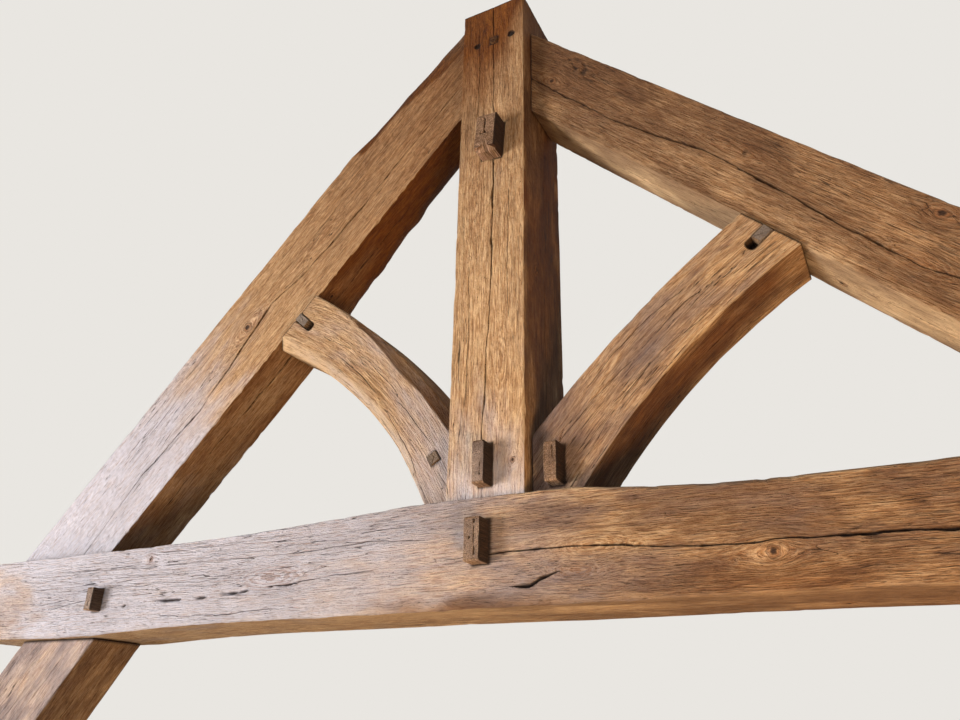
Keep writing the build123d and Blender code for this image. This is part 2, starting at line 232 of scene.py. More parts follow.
def tie_outline():
    def under(t):
        x = (2 * t - 1) * TIE_HALF
        fall = hollow(np.abs(x) - CAMBER_HALF, CAMBER_FLANK, CAMBER)
        return np.stack([x, SOFFIT_Z + CAMBER - fall], -1)

    def top(t):
        x = (2 * t - 1) * TIE_HALF
        reach, flank = (
            np.where(x < 0, left[k], right[k]) for k in ("crown_reach", "crown_flank")
        )
        rise = hollow(reach + flank - np.abs(x), flank, CROWN_RISE)
        return np.stack([x, SEAT_Z + rise], -1)

    def cut(x):
        return lambda share: polyline([(x, SOFFIT_Z), (x, SEAT_Z)], [0, 1], share)

    return Outline(under, top, cut(-TIE_HALF), cut(TIE_HALF), (0, SOFFIT_Z), (1, 0), (0, 1))


def straight_outline(foot, head, foot_marks, head_marks, origin, axis, square):
    def edge(a, b):
        return lambda t: polyline([a, b], [0, 1], t)

    return Outline(
        edge(foot[0], head[0]), edge(foot[-1], head[-1]),
        lambda share: polyline(foot, foot_marks, share),
        lambda share: polyline(head, head_marks, share),
        origin, axis, square,
    )


def post_outline():
    foot = [(-POST_HALF, POST_FOOT_Z), (POST_HALF, POST_FOOT_Z)]
    head = [(-POST_HALF, POST_TOP_Z), (POST_HALF, POST_TOP_Z)]
    return straight_outline(foot, head, [0, 1], [0, 1], (-POST_HALF, 0), (0, 1), (1, 0))


def underside(half, reach):
    inner = half["foot"] - half["depth"] / math.sin(half["slope"])
    return SEAT_Z + (inner - reach) * math.tan(half["slope"])


def rafter_outline(half):
    side, slope, depth = half["side"], half["slope"], half["depth"]
    inner = half["foot"] - depth / math.sin(slope)
    low = underside(half, POST_HALF)
    high = low + depth / math.cos(slope)
    head = [(POST_HALF, low), (POST_HALF, min(high, NOSE_Z))]
    if high > NOSE_Z:
        head.append((POST_HALF + (high - NOSE_Z) / math.tan(slope), NOSE_Z))
    axis = (-side * math.cos(slope), math.sin(slope))
    square = (side * math.sin(slope), math.cos(slope))
    origin = (side * inner, SEAT_Z)
    head = mirrored(side, head)
    marks = [float(np.dot(np.subtract(p, origin), square)) / depth for p in head]
    foot = mirrored(side, [(inner, SEAT_Z), (half["foot"], SEAT_Z)])
    return straight_outline(foot, head, [0, 1], marks, origin, axis, square)


def brace_outline(half):
    side = half["side"]
    inner, outer = half["head_at"], half["head_at"] + half["head_run"]
    corners = [(inner, underside(half, inner)), (outer, underside(half, outer))]
    foot_end = (POST_HALF + half["foot_run"], CROWN_Z)
    foot_top = (POST_HALF, CROWN_Z + half["foot_rise"])
    foot = mirrored(side, [foot_end, (POST_HALF, CROWN_Z), foot_top])
    head = mirrored(side, corners[::-1])
    mark = half["foot_run"] / (half["foot_run"] + half["foot_rise"])
    chord = np.subtract(head[0], foot[0])
    axis = chord / np.hypot(*chord)
    square = np.array([axis[1], -axis[0]])
    square = square if square[1] > 0 else -square
    return Outline(
        lambda t: arc(foot[0], head[0], half["arch"], t),
        lambda t: arc(foot[2], head[1], half["back"], t),
        lambda share: polyline(foot, [0, mark, 1], share),
        lambda share: polyline(head, [0, 1], share),
        foot[0], axis, square, bent=True,
    )


def leg_outline(half):
    side = half["side"]
    run, width = SOFFIT_Z / math.tan(LEG_SLOPE), LEG_DEPTH / math.sin(LEG_SLOPE)
    foot = mirrored(side, [(LEG_HEAD_AT, SOFFIT_Z), (LEG_HEAD_AT + width, SOFFIT_Z)])
    head = mirrored(side, [(LEG_HEAD_AT + run, 0), (LEG_HEAD_AT + run + width, 0)])
    axis = (side * math.cos(LEG_SLOPE), -math.sin(LEG_SLOPE))
    square = (side * math.sin(LEG_SLOPE), math.cos(LEG_SLOPE))
    return straight_outline(foot, head, [0, 1], [0, 1], foot[0], axis, square)


def stick_outline(tail, head, height):
    """A key or peg lying down: from its tail, behind, to its head in front."""
    foot = [(tail, -height / 2), (tail, height / 2)]
    end = [(head, -height / 2), (head, height / 2)]
    return straight_outline(foot, end, [0, 1], [0, 1], (0, -height / 2), (-1, 0), (0, 1))


def slot_line(half):
    """Where a brace's head slot starts at the rafter, and its way down the brace."""
    slope, fall = half["slope"], half["slot_fall"]
    x = half["head_at"] + math.cos(slope) * half["slot_at"]
    z = underside(half, half["head_at"]) - math.sin(slope) * half["slot_at"]
    return np.array([half["side"] * x, z]), np.array(
        [-half["side"] * math.cos(fall), -math.sin(fall)])


def slot_edge(half):
    """Corners of a brace's head slot, rounded where it ends in the brace."""
    start, way = slot_line(half)
    beside = np.array([-way[1], way[0]])
    half_width, length = SLOT_WIDTH / 2, half["slot_length"]
    corners = [(-half_width, -SLOT_WIDTH), (half_width, -SLOT_WIDTH)]
    for turn in np.linspace(0, math.pi, 7):
        corners.append((half_width * math.cos(turn),
                        length - half_width * 0.6 * (1 - math.sin(turn))))
    return [tuple(start + across * beside + along * way) for across, along in corners]


def ragged_ring(x, z, radius):
    """Edge of a peg's hole, worn out of round."""
    ring = []
    for turn in np.arange(0, 2 * math.pi, math.pi / 8):
        reach = radius * (1 + 0.07 * math.sin(3 * turn + x) + 0.05 * math.sin(5 * turn + z))
        ring.append((x + reach * math.cos(turn), z + reach * math.sin(turn)))
    return ring


# A timber's surface
FRONT, UPPER, BACK, LOWER = range(4)
CUT_END = -1              # in the place of a face's number, on the end cuts
END_BROWN = 0.5           # brown of an end cut that no weather reaches
ARC_STEPS = 6             # columns round a worn arris
SHARP = math.radians(38)  # edges sharper than this show
OWN_TREE = 7.0            # metres along the grain from one piece's wood to the next
MIN_STEP = 0.35           # between two columns of a mesh
ROW_GAP = 1.2             # between two of the rows that openings and knots add
END_ROWS = 0.8, 2.5       # rows this near each end cut, for its bevel
END_ROOM = 6.0            # next to an end cut, where no row is added
OPENING_ROWS, OPENING_ROOM = 2.6, 4.0       # between rows at an opening, and how far past it
KNOT_ROWS, KNOT_REACH = 3.0, (1.5, 1.51)    # between rows at a knot, and how far, in radii
ROUGH_ROWS, ROUGH_REACH = 5.0, (4.0, 4.0)   # the same at insects' work
SNAP = 1.9                # columns this near an opening's edge move onto it
CLEAR = 3.0               # of an end cut, where an opening's columns may move
WIDEST_ARRIS = 0.46       # of the section's smaller side
NO_KNOT = 4.0             # distance from a knot, in its radii, where none is near
SHELTER_AND_BOUNCE_LIGHT = 0.25          # of a face's greyness on the faces under and over it: kept from weather, and on the undersides a painted warm bounce light
BITE_FROM = 0.25          # of the noise that bites into an arris
LEAST_RADIUS = 1.2        # of an arris
WANE_SHOWS = 4, 14        # radius from which, and at which, wane is flat and barky
SHAKE_WIDTH, SHAKE_NARROWEST = 0.68, 0.42   # in its drawn width
SHAKE_TAPER = 0.45        # of its ends: 0 is blunt, 1 is pointed
SHAKE_ROOM = 0.8          # least half width that its columns leave it
SHAKE_JUMP = 1.5          # half of its jump from one fibre to another
SHAKE_DEPTH, SHAKE_DEEPEST = 5.5, 26.0      # in its half widths, and in millimetres
SPLIT_DEPTH = 9.0         # of a split in an end cut
END_WAVES, END_FIBRES = 0.9, 0.8            # depth of an end cut's waves and torn fibres
BEVEL_REACH, END_DIRT_REACH = 2.5, 9.0      # from an end cut along the faces
PATCH_EDGE = -1.2, -0.3   # where a patch of tone starts and is full, in its radii
BARK_RISE, BARK_RUN = (-5, 16), 60          # over its edge and from its start, to full
BARK_IN = 0.8             # share of the thickness that the bark side reaches
BLOWS, RIDGES = 1.3, 0.4  # depth of the hewing blows and of the ridges between fibres
SHAKE_EDGES = -2.6, -1.0, 0.0, 1.0, 2.6     # columns that it needs, in half widths
END_RINGS = 0.95, 0.88, 0.8, 0.71, 0.61, 0.51, 0.41, 0.31, 0.21, 0.12, 0.05, 0.0
PLAIN = dict(
    rows=12.0,                # between rows along the piece
    columns=(3.6, 6, 6, 5),   # between columns on its front, upper, back and lower face
    worn=(6, 6, 6, 6),        # radius of its arrises, lower front first, then round by the top
    ragged=11,                # depth of the small bites in them
    bevels=(),                # (corner, how flat, how brown and barky, (along, radius), ...)
    chips=(),                 # (corner, along, length, depth)
    hewn=2.6,                 # depth of the waves in its faces
    drawn=(),                 # (width, (X, Z), ...) of shakes on its face side
    shakes=(),                # (face, width, (along, across), ...)
    knots=(),                 # (face, along, across, radius)
    whorls=(),                # (face, along, across, length, width, rise) of figured grain
    rough=(),                 # (face, along, across, radius) of insects' work
    sockets=(),               # (X, Z, half width, half height, turn) where a key passes
    openings=(),              # (corners as X and Z, depth)
    heart=(0.5, 0.5),         # pith, in shares of the section
    brown=((0, 0.2),),        # (along, 0 to 1)
    grey=((0, 0.1),),
    patina=((0, 0.15),),
    tones=(),                 # ({tone: amount}, face, along, across, length, width)
    bark=(),                  # (along, across) of the bark side's edge
    ends=(2.5, 2.5),          # bevel round its end cuts
    head_bevel=0.0,           # of the head's lower edge
    dark_ends=(1.0, 1.0),     # dirt on its foot's end cut and on its head's; on a sunk peg's head, painted shade of its hole
    end_grey=0.1,             # share of the weathering that its end cuts keep
    splits=(),                # (from, to, width) in its head's end cut, in shares of the section
    seed=0,
)


class Piece:
    """A wooden piece: its shape, and every mark that its mesh and finish show."""

    def __init__(self, name, outline, front, thickness, **marks):
        self.name, self.outline, self.front, self.thickness = name, outline, front, thickness
        for mark, value in {**PLAIN, **marks}.items():
            setattr(self, mark, value)
        self.shakes = [(FRONT, width, *outline.marked(*points))
                       for width, *points in self.drawn] + list(self.shakes)


def spread(start, stop, groups, pitch):
    """Columns between start and stop for each row, with each group's columns kept together.

    start and stop hold one value a row; a group is an array of (rows, columns)."""
    bounds = [start[:, None]] + groups + [stop[:, None]]
    columns = [bounds[0]]
    for before, after in zip(bounds, bounds[1:]):
        gap = after[:, :1] - before[:, -1:]
        count = max(1, int(round(float(np.median(gap)) / pitch)))
        for k in range(1, count):
            columns.append(before[:, -1:] + gap * k / count)
        columns.append(after)
    made = np.concatenate(columns, 1)
    for k in range(1, made.shape[1]):
        made[:, k] = np.maximum(made[:, k], made[:, k - 1] + MIN_STEP)
    over = made[:, -1] - stop
    return made - np.outer(over, np.linspace(0, 1, made.shape[1]))


def shake_line(path, width, along):
    """Across places and half widths of a shake at places along the timber."""
    path = np.array(sorted(path), float)
    mark = path[0, 0] + path[0, 1]
    line = np.interp(along, path[:, 0], path[:, 1]) + waves("shake_sway", 0, along, mark)
    line = line + SHAKE_JUMP * np.tanh(waves("shake_jumps", 0, along, mark))
    share = np.clip((along - path[0, 0]) / (path[-1, 0] - path[0, 0]), 0, 1)
    swell = np.maximum(np.sin(math.pi * share), 0) ** SHAKE_TAPER
    ragged = SHAKE_WIDTH + waves("shake_width", 0, along, mark)
    return line, width / 2 * swell * np.maximum(ragged, SHAKE_NARROWEST)


def piece_rows(piece):
    """Shares of the length at which a piece's rows lie, closer at openings and knots."""
    outline = piece.outline
    length = outline.length
    wanted = []
    for corners, _ in piece.openings:
        places = [outline.own(np.array(corner, float)) for corner in corners]
        along = [a for a, c in places]
        middle = sum(c for a, c in places) / len(places)
        reach = min(along) - OPENING_ROOM, max(along) + OPENING_ROOM
        wanted += [(a, middle) for a in np.arange(*reach, OPENING_ROWS)]
    patches = [(*knot, *KNOT_REACH, max(KNOT_ROWS, knot[3] / 4)) for knot in piece.knots]
    patches += [(*patch, *ROUGH_REACH, ROUGH_ROWS) for patch in piece.rough]
    for face, a, c, radius, before, after, pitch in patches:
        for step in np.arange(-before * radius, after * radius, pitch):
            wanted.append((a + step, c if face in (FRONT, BACK) else 0))
    near, room = ROW_GAP / length, END_ROOM / length
    found = []
    for t in sorted(outline.find(a, c)[0] for a, c in wanted):
        if room < t < 1 - room and (not found or t - found[-1] > near):
            found.append(t)
    rows = list(np.linspace(0, 1, int(length / piece.rows) + 1)[1:-1])
    rows = [t for t in rows if all(abs(t - other) > 3 * near for other in found)]
    ends = [abs(end - reach / length) for end in (0, 1) for reach in (0, *END_ROWS)]
    if piece.head_bevel:
        ends.append(1 - piece.head_bevel / length)
    return np.array(sorted(rows + found + ends))


def corner_radii(piece, along):
    """Radius of each of the four worn arrises, how flat and how barky it is, along a piece."""
    corners = []
    for corner in range(4):
        seed = piece.seed + 3 * corner
        radius = piece.worn[corner] * (1 + waves("arris", seed, along))
        radius = radius + piece.ragged * np.maximum(waves("bites", seed, along) - BITE_FROM, 0)
        flat, barky = np.zeros_like(radius), np.zeros_like(radius)
        for on_corner, at, length, depth in piece.chips:
            if on_corner == corner:
                torn = 1 + waves("torn", seed, along)
                radius = radius + depth * bell(along - at, length / 2) * torn
        for on_corner, flatness, barkiness, *path in piece.bevels:
            if on_corner == corner:
                cut = along_path(path, along)
                radius = radius + cut * (1 + waves("wane", seed, along))
                flat = flat + flatness * ease(cut, *WANE_SHOWS)
                barky = barky + barkiness * ease(cut, *WANE_SHOWS)
        corners.append((np.maximum(radius, LEAST_RADIUS), flat, barky))
    return zip(*corners)


def face_groups(piece, face, t, along, base, depth):
    """Columns that a face's shakes need, sorted by place."""
    outline = piece.outline
    found = []
    for on_face, width, *path in piece.shakes:
        if on_face != face:
            continue
        s = along
        if face in (FRONT, BACK) and not outline.bent:
            for _ in range(3):
                line = shake_line(path, width, s)[0]
                s = outline.own(outline.at(t, np.clip((line - base) / depth, 0, 1)))[0]
        line, half = shake_line(path, width, s)
        half = np.maximum(half, SHAKE_ROOM)
        line = line - (base if face in (FRONT, BACK) else 0)
        found.append(np.stack([line + half * edge for edge in SHAKE_EDGES], 1))
    found.sort(key=lambda group: float(np.median(group)))
    return found


def arris_columns(normal, following, centre, radius, flat, barky, counts_to):
    """Columns round a worn arris, from the side before it to the one that follows."""
    angle = np.linspace(0, math.pi / 2, ARC_STEPS + 2)[1:-1, None]
    share = angle / (math.pi / 2)
    normal, following, flat = np.array(normal), np.array(following), flat[:, None, None]
    round_way = np.cos(angle) * normal + np.sin(angle) * following
    way = (1 - flat) * round_way + flat * ((1 - share) * normal + share * following)
    across, deep = (centre[k][:, None] + radius[:, None] * way[..., k] for k in range(2))
    shape = np.ones(across.shape)
    return (across, deep, shape * round_way[:, 0], shape * round_way[:, 1],
            np.full(across.shape, counts_to), shape - 2 * barky[:, None])


def section(piece, t):
    """Columns round the piece at each row: across, deep, the normal's two parts, the face."""
    outline, thick = piece.outline, piece.thickness
    lower, upper = outline.lower(t), outline.upper(t)
    if outline.bent:
        depth = np.linalg.norm(upper - lower, axis=-1)
        base = np.zeros_like(depth)
        along = t * outline.length
    else:
        base = outline.own(lower)[1]
        depth = outline.own(upper)[1] - base
        along = outline.own(outline.at(t, 0.5))[0]
    radii, flats, barks = corner_radii(piece, along)
    limit = np.minimum(depth, thick) * WIDEST_ARRIS
    radii = [np.minimum(radius, limit) for radius in radii]
    # From the face's start and end radius: where it lies, and which way its normal points.
    sides = (
        (FRONT, radii[0], depth - radii[1], (0, -1)),
        (UPPER, radii[1], thick - radii[2], (1, 0)),
        (BACK, radii[3], depth - radii[2], (0, 1)),
        (LOWER, radii[0], thick - radii[3], (-1, 0)),
    )
    # The arris after each side: its corner, the centre of its rounding and the face it counts to.
    corners = (
        (1, depth - radii[1], radii[1], FRONT),
        (2, depth - radii[2], thick - radii[2], BACK),
        (3, radii[3], thick - radii[3], BACK),
        (0, radii[0], radii[0], FRONT),
    )
    columns = []
    for number, (face, start, stop, normal) in enumerate(sides):
        groups = face_groups(piece, face, t, along, base, depth)
        places = spread(start, stop, groups, piece.columns[face])
        if face in (BACK, LOWER):
            places = places[:, ::-1]
        fixed = {FRONT: 0.0, UPPER: depth[:, None], BACK: thick, LOWER: 0.0}[face]
        fixed = np.zeros_like(places) + fixed
        across, deep = (places, fixed) if face in (FRONT, BACK) else (fixed, places)
        columns.append((across, deep, normal[0] + 0 * places, normal[1] + 0 * places,
                        np.full(places.shape, face), 0 * places))
        corner, *centre, counts_to = corners[number]
        columns.append(arris_columns(
            normal, sides[(number + 1) % 4][3], centre, radii[corner], flats[corner],
            barks[corner], counts_to))
    across, deep, n_up, n_back, face, on_arris = (
        np.concatenate([column[k] for column in columns], 1) for k in range(6)
    )
    return dict(across=across, deep=deep, n_up=n_up, n_back=n_back, face=face,
                arris=on_arris, depth=depth, base=base)


def opening_gap(corners, x, z):
    """Distance outside a convex opening, negative within it, and the way out."""
    corners = np.array(corners, float)
    middle = corners.mean(0)
    gap = np.full(x.shape, -1e6)
    way = np.zeros(x.shape + (2,))
    for a, b in zip(corners, np.roll(corners, -1, 0)):
        run = (b - a) / np.hypot(*(b - a))
        normal = np.array([run[1], -run[0]])
        normal = normal * np.sign(normal @ (a - middle))
        beyond = (x - a[0]) * normal[0] + (z - a[1]) * normal[1]
        nearer = beyond > gap
        gap = np.where(nearer, beyond, gap)
        way = np.where(nearer[..., None], normal, way)
    return gap, way


class Surface:
    """What the marks of a piece do to its mesh, point by point."""

    def __init__(self, piece, along, across, deep, face, place):
        self.piece, self.place = piece, place
        self.spot = along, across, deep
        self.on = {number: face == number for number in range(4)}
        self.flat = self.on[FRONT] | self.on[BACK]
        self.beside = {FRONT: across, BACK: across, UPPER: deep, LOWER: deep}
        self.sunk = piece.hewn * (0.5 + waves("hewing", piece.seed, *self.spot))
        self.sunk = self.sunk + BLOWS * (0.5 + waves("blows", piece.seed, *self.spot))
        self.sunk = self.sunk + 0.5 + RIDGES * waves("ridges", piece.seed, *self.spot)
        self.dirt = np.zeros_like(self.sunk)
        self.knot = np.full_like(self.sunk, NO_KNOT)
        self.grain_up, self.grain_in = np.zeros_like(self.sunk), np.zeros_like(self.sunk)

    def dig(self, depth, dirt):
        """Sinks the surface and darkens it, with dirt and with painted shade."""
        self.sunk = self.sunk + depth
        self.dirt = np.maximum(self.dirt, dirt)

    def shake(self, face, width, *path):
        """A groove along the fibres, dark inside, with a low lip."""
        line, half = shake_line(path, width, self.spot[0])
        away = np.abs(self.beside[face] - line)
        mine = self.on[face] & (half > 0.15)
        inside = np.clip(1 - away / np.maximum(half, 0.2), 0, 1)
        groove = np.minimum(SHAKE_DEEPEST, SHAKE_DEPTH * half) * inside ** 0.8
        lip = 0.5 * bell(away, half + 4) * (half > 0.3)
        shade = np.clip(1.15 - away / np.maximum(half * 1.4, 1.1), 0, 1)
        self.dig(mine * (groove + lip), mine * shade)

    def turn_grain(self, face, aside, inward):
        """Leads the fibres round a mark: aside on the face, and inward from it."""
        moves = [self.on[face] * aside, self.on[face] * inward]
        up, into = moves if face in (FRONT, BACK) else moves[::-1]
        self.grain_up, self.grain_in = self.grain_up + up, self.grain_in + into

    def near_knot(self, where, away):
        """Keeps the distance from the nearest knot, in its radii."""
        self.knot = np.minimum(self.knot, np.where(where, away, NO_KNOT))

    def knot_at(self, face, at, line, radius):
        ahead, beside = self.spot[0] - at, self.beside[face] - line
        da, dq = ahead / (radius * 1.25), beside / radius
        turn = np.arctan2(dq, da)
        lobes = 1 + 0.13 * np.sin(2 * turn + at) + 0.08 * np.sin(5 * turn + line)
        away = np.hypot(da, dq) / lobes
        self.near_knot(self.on[face], away)
        crack = bell(np.abs(np.sin(turn * 1.5 + line)) * away * radius, 1.1) * (away < 0.95)
        dip = 1.8 * bell(away - 1.05, 0.16) - 0.9 * bell(away, 0.7) + 2.0 * crack
        self.dig(self.on[face] * dip, 0)
        pull = bell(ahead / (radius * 3.6), 1) * bell(beside / (radius * 2.4), 1)
        self.turn_grain(face, -beside * 0.8 * pull, radius * 0.9 * pull)

    def whorl(self, face, at, line, length, width, rise):
        """Figured grain, where the cut passes through a swelling of the rings."""
        beside = self.beside[face] - line
        pull = bell((self.spot[0] - at) / length, 1) * bell(beside / width, 1)
        self.turn_grain(face, -beside * 0.35 * pull, rise * pull)
        self.near_knot(self.on[face] & (pull > 0.02), 3.2 - 1.9 * pull)

    def socket(self, x, z, half_width, half_height, turn):
        """A key's way through: a bruised rim, dark with dust in the join, and a wide faint
        painted shadow round the key.
        """
        x, z = self.place[..., 0] - x, self.place[..., 1] - z
        u = x * math.cos(turn) + z * math.sin(turn)
        v = -x * math.sin(turn) + z * math.cos(turn)
        out = np.maximum(np.abs(u) - half_width, np.abs(v) - half_height)
        rim = self.flat * bell(np.maximum(out, 0), 3.5)
        # The narrow dark rim is the join; the wide faint darkening is a painted shadow of the
        # key.
        self.dig(1.6 * rim, np.maximum(0.9 * rim, 0.22 * self.flat * bell(out, 14)))

    def opening(self, corners, depth, inside):
        gap = opening_gap(corners, self.place[..., 0], self.place[..., 1])[0]
        rim = self.flat * bell(np.maximum(gap, 0), 3.0)
        # The rim is darkened, and the inside of the hole is painted fully dark as shade.
        self.dig(1.2 * rim + inside * depth, np.maximum(0.8 * rim, inside))

    def gnawed(self, face, at, line, radius):
        away = np.hypot((self.spot[0] - at) / 4.2, self.beside[face] - line)
        pits = np.clip(waves("pits", self.piece.seed, *self.spot), 0, 1)
        pits = pits * self.on[face] * bell(away, radius)
        self.dig(5.5 * pits, 0.8 * pits)

    def mark(self, inside):
        piece = self.piece
        openings = [(*one, within) for one, within in zip(piece.openings, inside)]
        for work, marks in (
            (self.shake, piece.shakes), (self.knot_at, piece.knots), (self.whorl, piece.whorls),
            (self.socket, piece.sockets), (self.opening, openings), (self.gnawed, piece.rough),
        ):
            for one in marks:
                work(*one)


def tone_values(piece, along, across, deep, face, dirts, arris):
    """Brown heartwood, grey weathering, dirt and wear, and the dull skin of old dust; through the
    pieces' tone patches also painted shade on faces turned from the lamps and painted highlights
    on lit ones.
    """
    levels = {tone: along_path(getattr(piece, tone), along)
              for tone in ("brown", "grey", "patina")}
    levels["dirt"], levels["worn"] = dirts, np.clip(arris, 0, 1)
    over_or_under = (face == UPPER) | (face == LOWER)
    keeps = np.where(over_or_under, SHELTER_AND_BOUNCE_LIGHT, 1)
    levels["grey"] = levels["grey"] * np.where(face == CUT_END, piece.end_grey, keeps)
    levels["brown"] = levels["brown"] + (face == CUT_END) * (1 - piece.end_grey) * END_BROWN
    beside = np.where(over_or_under, deep, across)
    for amounts, on_face, at, line, length, width in piece.tones:
        away = np.hypot((along - at) / length, (beside - line) / width)
        away = away + waves("tone_edge", piece.seed, along, across, deep)
        for tone, amount in amounts.items():
            levels[tone] = levels[tone] + amount * (face == on_face) * ease(-away, *PATCH_EDGE)
    if piece.bark:
        edge = along_path(piece.bark, along) + waves("bark_edge", 0, along)
        start = min(piece.bark)[0]
        bark = ease(across - edge, *BARK_RISE) * ease(along, start, start + BARK_RUN)
        bark = bark * (deep < piece.thickness * BARK_IN)
        levels["brown"] = np.maximum(levels["brown"], 1.1 * bark)
        levels["dirt"] = np.maximum(levels["dirt"], 0.4 * bark)
    barky = np.clip(-arris, 0, 1)
    levels["brown"] = levels["brown"] + 0.8 * barky
    levels["dirt"] = levels["dirt"] + 0.12 * barky
    tone = np.stack([levels[name] for name in ("brown", "grey", "dirt", "worn")], -1)
    return np.clip(tone, 0, 1.2), levels["patina"]


def end_cut(piece, cut, share, line, edge, end):
    """Rings of points that close an end cut on its middle, roughened and split."""
    outline, thick, depth = piece.outline, piece.thickness, cut["depth"][line]
    edge_share, edge_deep = share[line], cut["deep"][line]
    at = np.full(len(edge_share), float(end))
    slip = edge[:, [0, 2]] - outline.at(at, edge_share)
    slip_back = edge[:, 1] - (piece.front + edge_deep)
    inward = outline.at(abs(end - 0.02), 0.5) - outline.at(end, 0.5)
    inward = inward / np.hypot(*inward)
    scale = np.array([depth, thick])
    made = []
    for reach in END_RINGS:
        s = 0.5 + (edge_share - 0.5) * reach
        d = thick / 2 + (edge_deep - thick / 2) * reach
        c = s * depth
        sink = END_WAVES * (0.5 + waves("end_waves", piece.seed, 0, c, d))
        sink = sink + END_FIBRES * np.abs(waves("end_fibres", piece.seed, 0, c, d))
        check = np.zeros(len(at))
        for start, stop, width in piece.splits if end else ():
            run = (np.array(stop) - np.array(start)) * scale
            spot = np.stack([c, d], -1) - np.array(start) * scale
            part = np.clip(spot @ run / np.dot(run, run), 0, 1)
            off = np.linalg.norm(spot - part[:, None] * run, axis=-1)
            off = off + waves("split_edge", piece.seed, 0, c, d)
            open_to = width * np.sin(math.pi * np.clip(part, 0.04, 0.96)) ** 0.5
            check = np.maximum(check, np.clip(1 - off / open_to, 0, 1))
        p = outline.at(at, s) + slip * reach + inward * (sink + SPLIT_DEPTH * check)[:, None]
        y = piece.front + d + slip_back * reach
        own = (at * outline.length, c) if outline.bent else outline.own(p)
        dirt = np.clip(0.35 * piece.dark_ends[end] + 1.6 * check, 0, 1)
        ring = slice(None) if reach else slice(0, 1)
        made.append((np.stack([p[:, 0], y, p[:, 1]], -1)[ring],
                     np.stack([*own, d], -1)[ring], dirt[ring]))
    return made


def skin(piece, t, cut, share):
    """Points of a piece's long faces, their places in the wood, their dirt and painted shade, and
    knots.
    """
    outline = piece.outline
    grid_t = np.repeat(t[:, None], share.shape[1], 1)
    from_foot, from_head = grid_t * outline.length, (1 - grid_t) * outline.length
    plane = outline.at(grid_t, share)
    # Points near an opening's edge move onto it, so that the edge is clean.
    shift = np.zeros_like(plane)
    flat = (cut["arris"] == 0) & ((cut["face"] == FRONT) | (cut["face"] == BACK))
    flat = flat & (from_foot > CLEAR) & (from_head > CLEAR)
    within = []
    for corners, _ in piece.openings:
        gap, way = opening_gap(corners, plane[..., 0], plane[..., 1])
        near = flat & (np.abs(gap) < SNAP)
        shift = shift - np.where(near, gap, 0)[..., None] * way
        within.append(flat & (gap <= -SNAP))
    plane = plane + shift
    if outline.bent:
        along = from_foot + shift @ outline.axis
        across = cut["across"] + shift @ outline.square
    else:
        along, across = outline.own(plane)
    low = outline.edge_normal(outline.lower, t)[:, None]
    high = outline.edge_normal(outline.upper, t)[:, None]
    up = low * (1 - share[..., None]) + high * share[..., None]
    up /= np.linalg.norm(up, axis=-1, keepdims=True)
    # A row sinks within its own line, so that the end cuts stay in their planes.
    line = outline.upper(t) - outline.lower(t)
    line = (line / np.linalg.norm(line, axis=-1, keepdims=True))[:, None]
    up = line / np.maximum(np.sum(line * up, -1, keepdims=True), 0.5)
    surface = Surface(piece, along, across, cut["deep"], cut["face"], plane)
    surface.mark(within)
    # Round its end cuts the section draws in.
    for bevel, dark, away in zip(piece.ends, piece.dark_ends, (from_foot, from_head)):
        surface.dig(bevel * np.clip(1 - away / BEVEL_REACH, 0, 1),
                    dark * np.clip(1.1 - away / END_DIRT_REACH, 0, 1))
    if piece.head_bevel:
        under = (cut["face"] == LOWER) | ((cut["arris"] != 0) & (share < 0.3))
        fall = np.clip(1 - from_head / piece.head_bevel, 0, 1)
        surface.dig(under * piece.head_bevel * fall, 0)
    x, z = (plane[..., k] - surface.sunk * cut["n_up"] * up[..., k] for k in range(2))
    y = piece.front + cut["deep"] - surface.sunk * cut["n_back"]
    own = np.stack([along, across + surface.grain_up, cut["deep"] + surface.grain_in], -1)
    return np.stack([x, y, z], -1), own, surface.dirt, surface.knot


def into_scene(name, data):
    """Makes an object from its data and puts it in the scene."""
    made = bpy.data.objects.new(name, data)
    bpy.context.scene.collection.objects.link(made)
    return made


def write_mesh(name, points, quads, triangles, layers):
    """A mesh with its faces turned outwards and a value for each point in every layer."""
    mesh = bpy.data.meshes.new(name)
    mesh.vertices.add(len(points))
    mesh.vertices.foreach_set("co", (points * MM).astype(np.float32).ravel())
    corners = np.concatenate([quads.ravel(), triangles.ravel()])
    mesh.loops.add(len(corners))
    mesh.loops.foreach_set("vertex_index", corners.astype(np.int32))
    sizes = np.concatenate([np.full(len(quads), 4), np.full(len(triangles), 3)])
    mesh.polygons.add(len(sizes))
    starts = np.concatenate([[0], np.cumsum(sizes)[:-1]])
    mesh.polygons.foreach_set("loop_start", starts.astype(np.int32))
    mesh.update(calc_edges=True)
    mesh.validate()
    # The sign of the volume tells which way the faces look.
    a, b, c, d = (points[quads[:, k]] for k in range(4))
    if np.einsum("ij,ij->", a, np.cross(b, c)) + np.einsum("ij,ij->", a, np.cross(c, d)) < 0:
        mesh.flip_normals()
    mesh.shade_smooth()
    mesh.set_sharp_from_angle(angle=SHARP)
    for layer, (kind, field, values) in layers.items():
        values = values.astype(np.float32).ravel()
        mesh.attributes.new(layer, kind, "POINT").data.foreach_set(field, values)
    return into_scene(name, mesh)


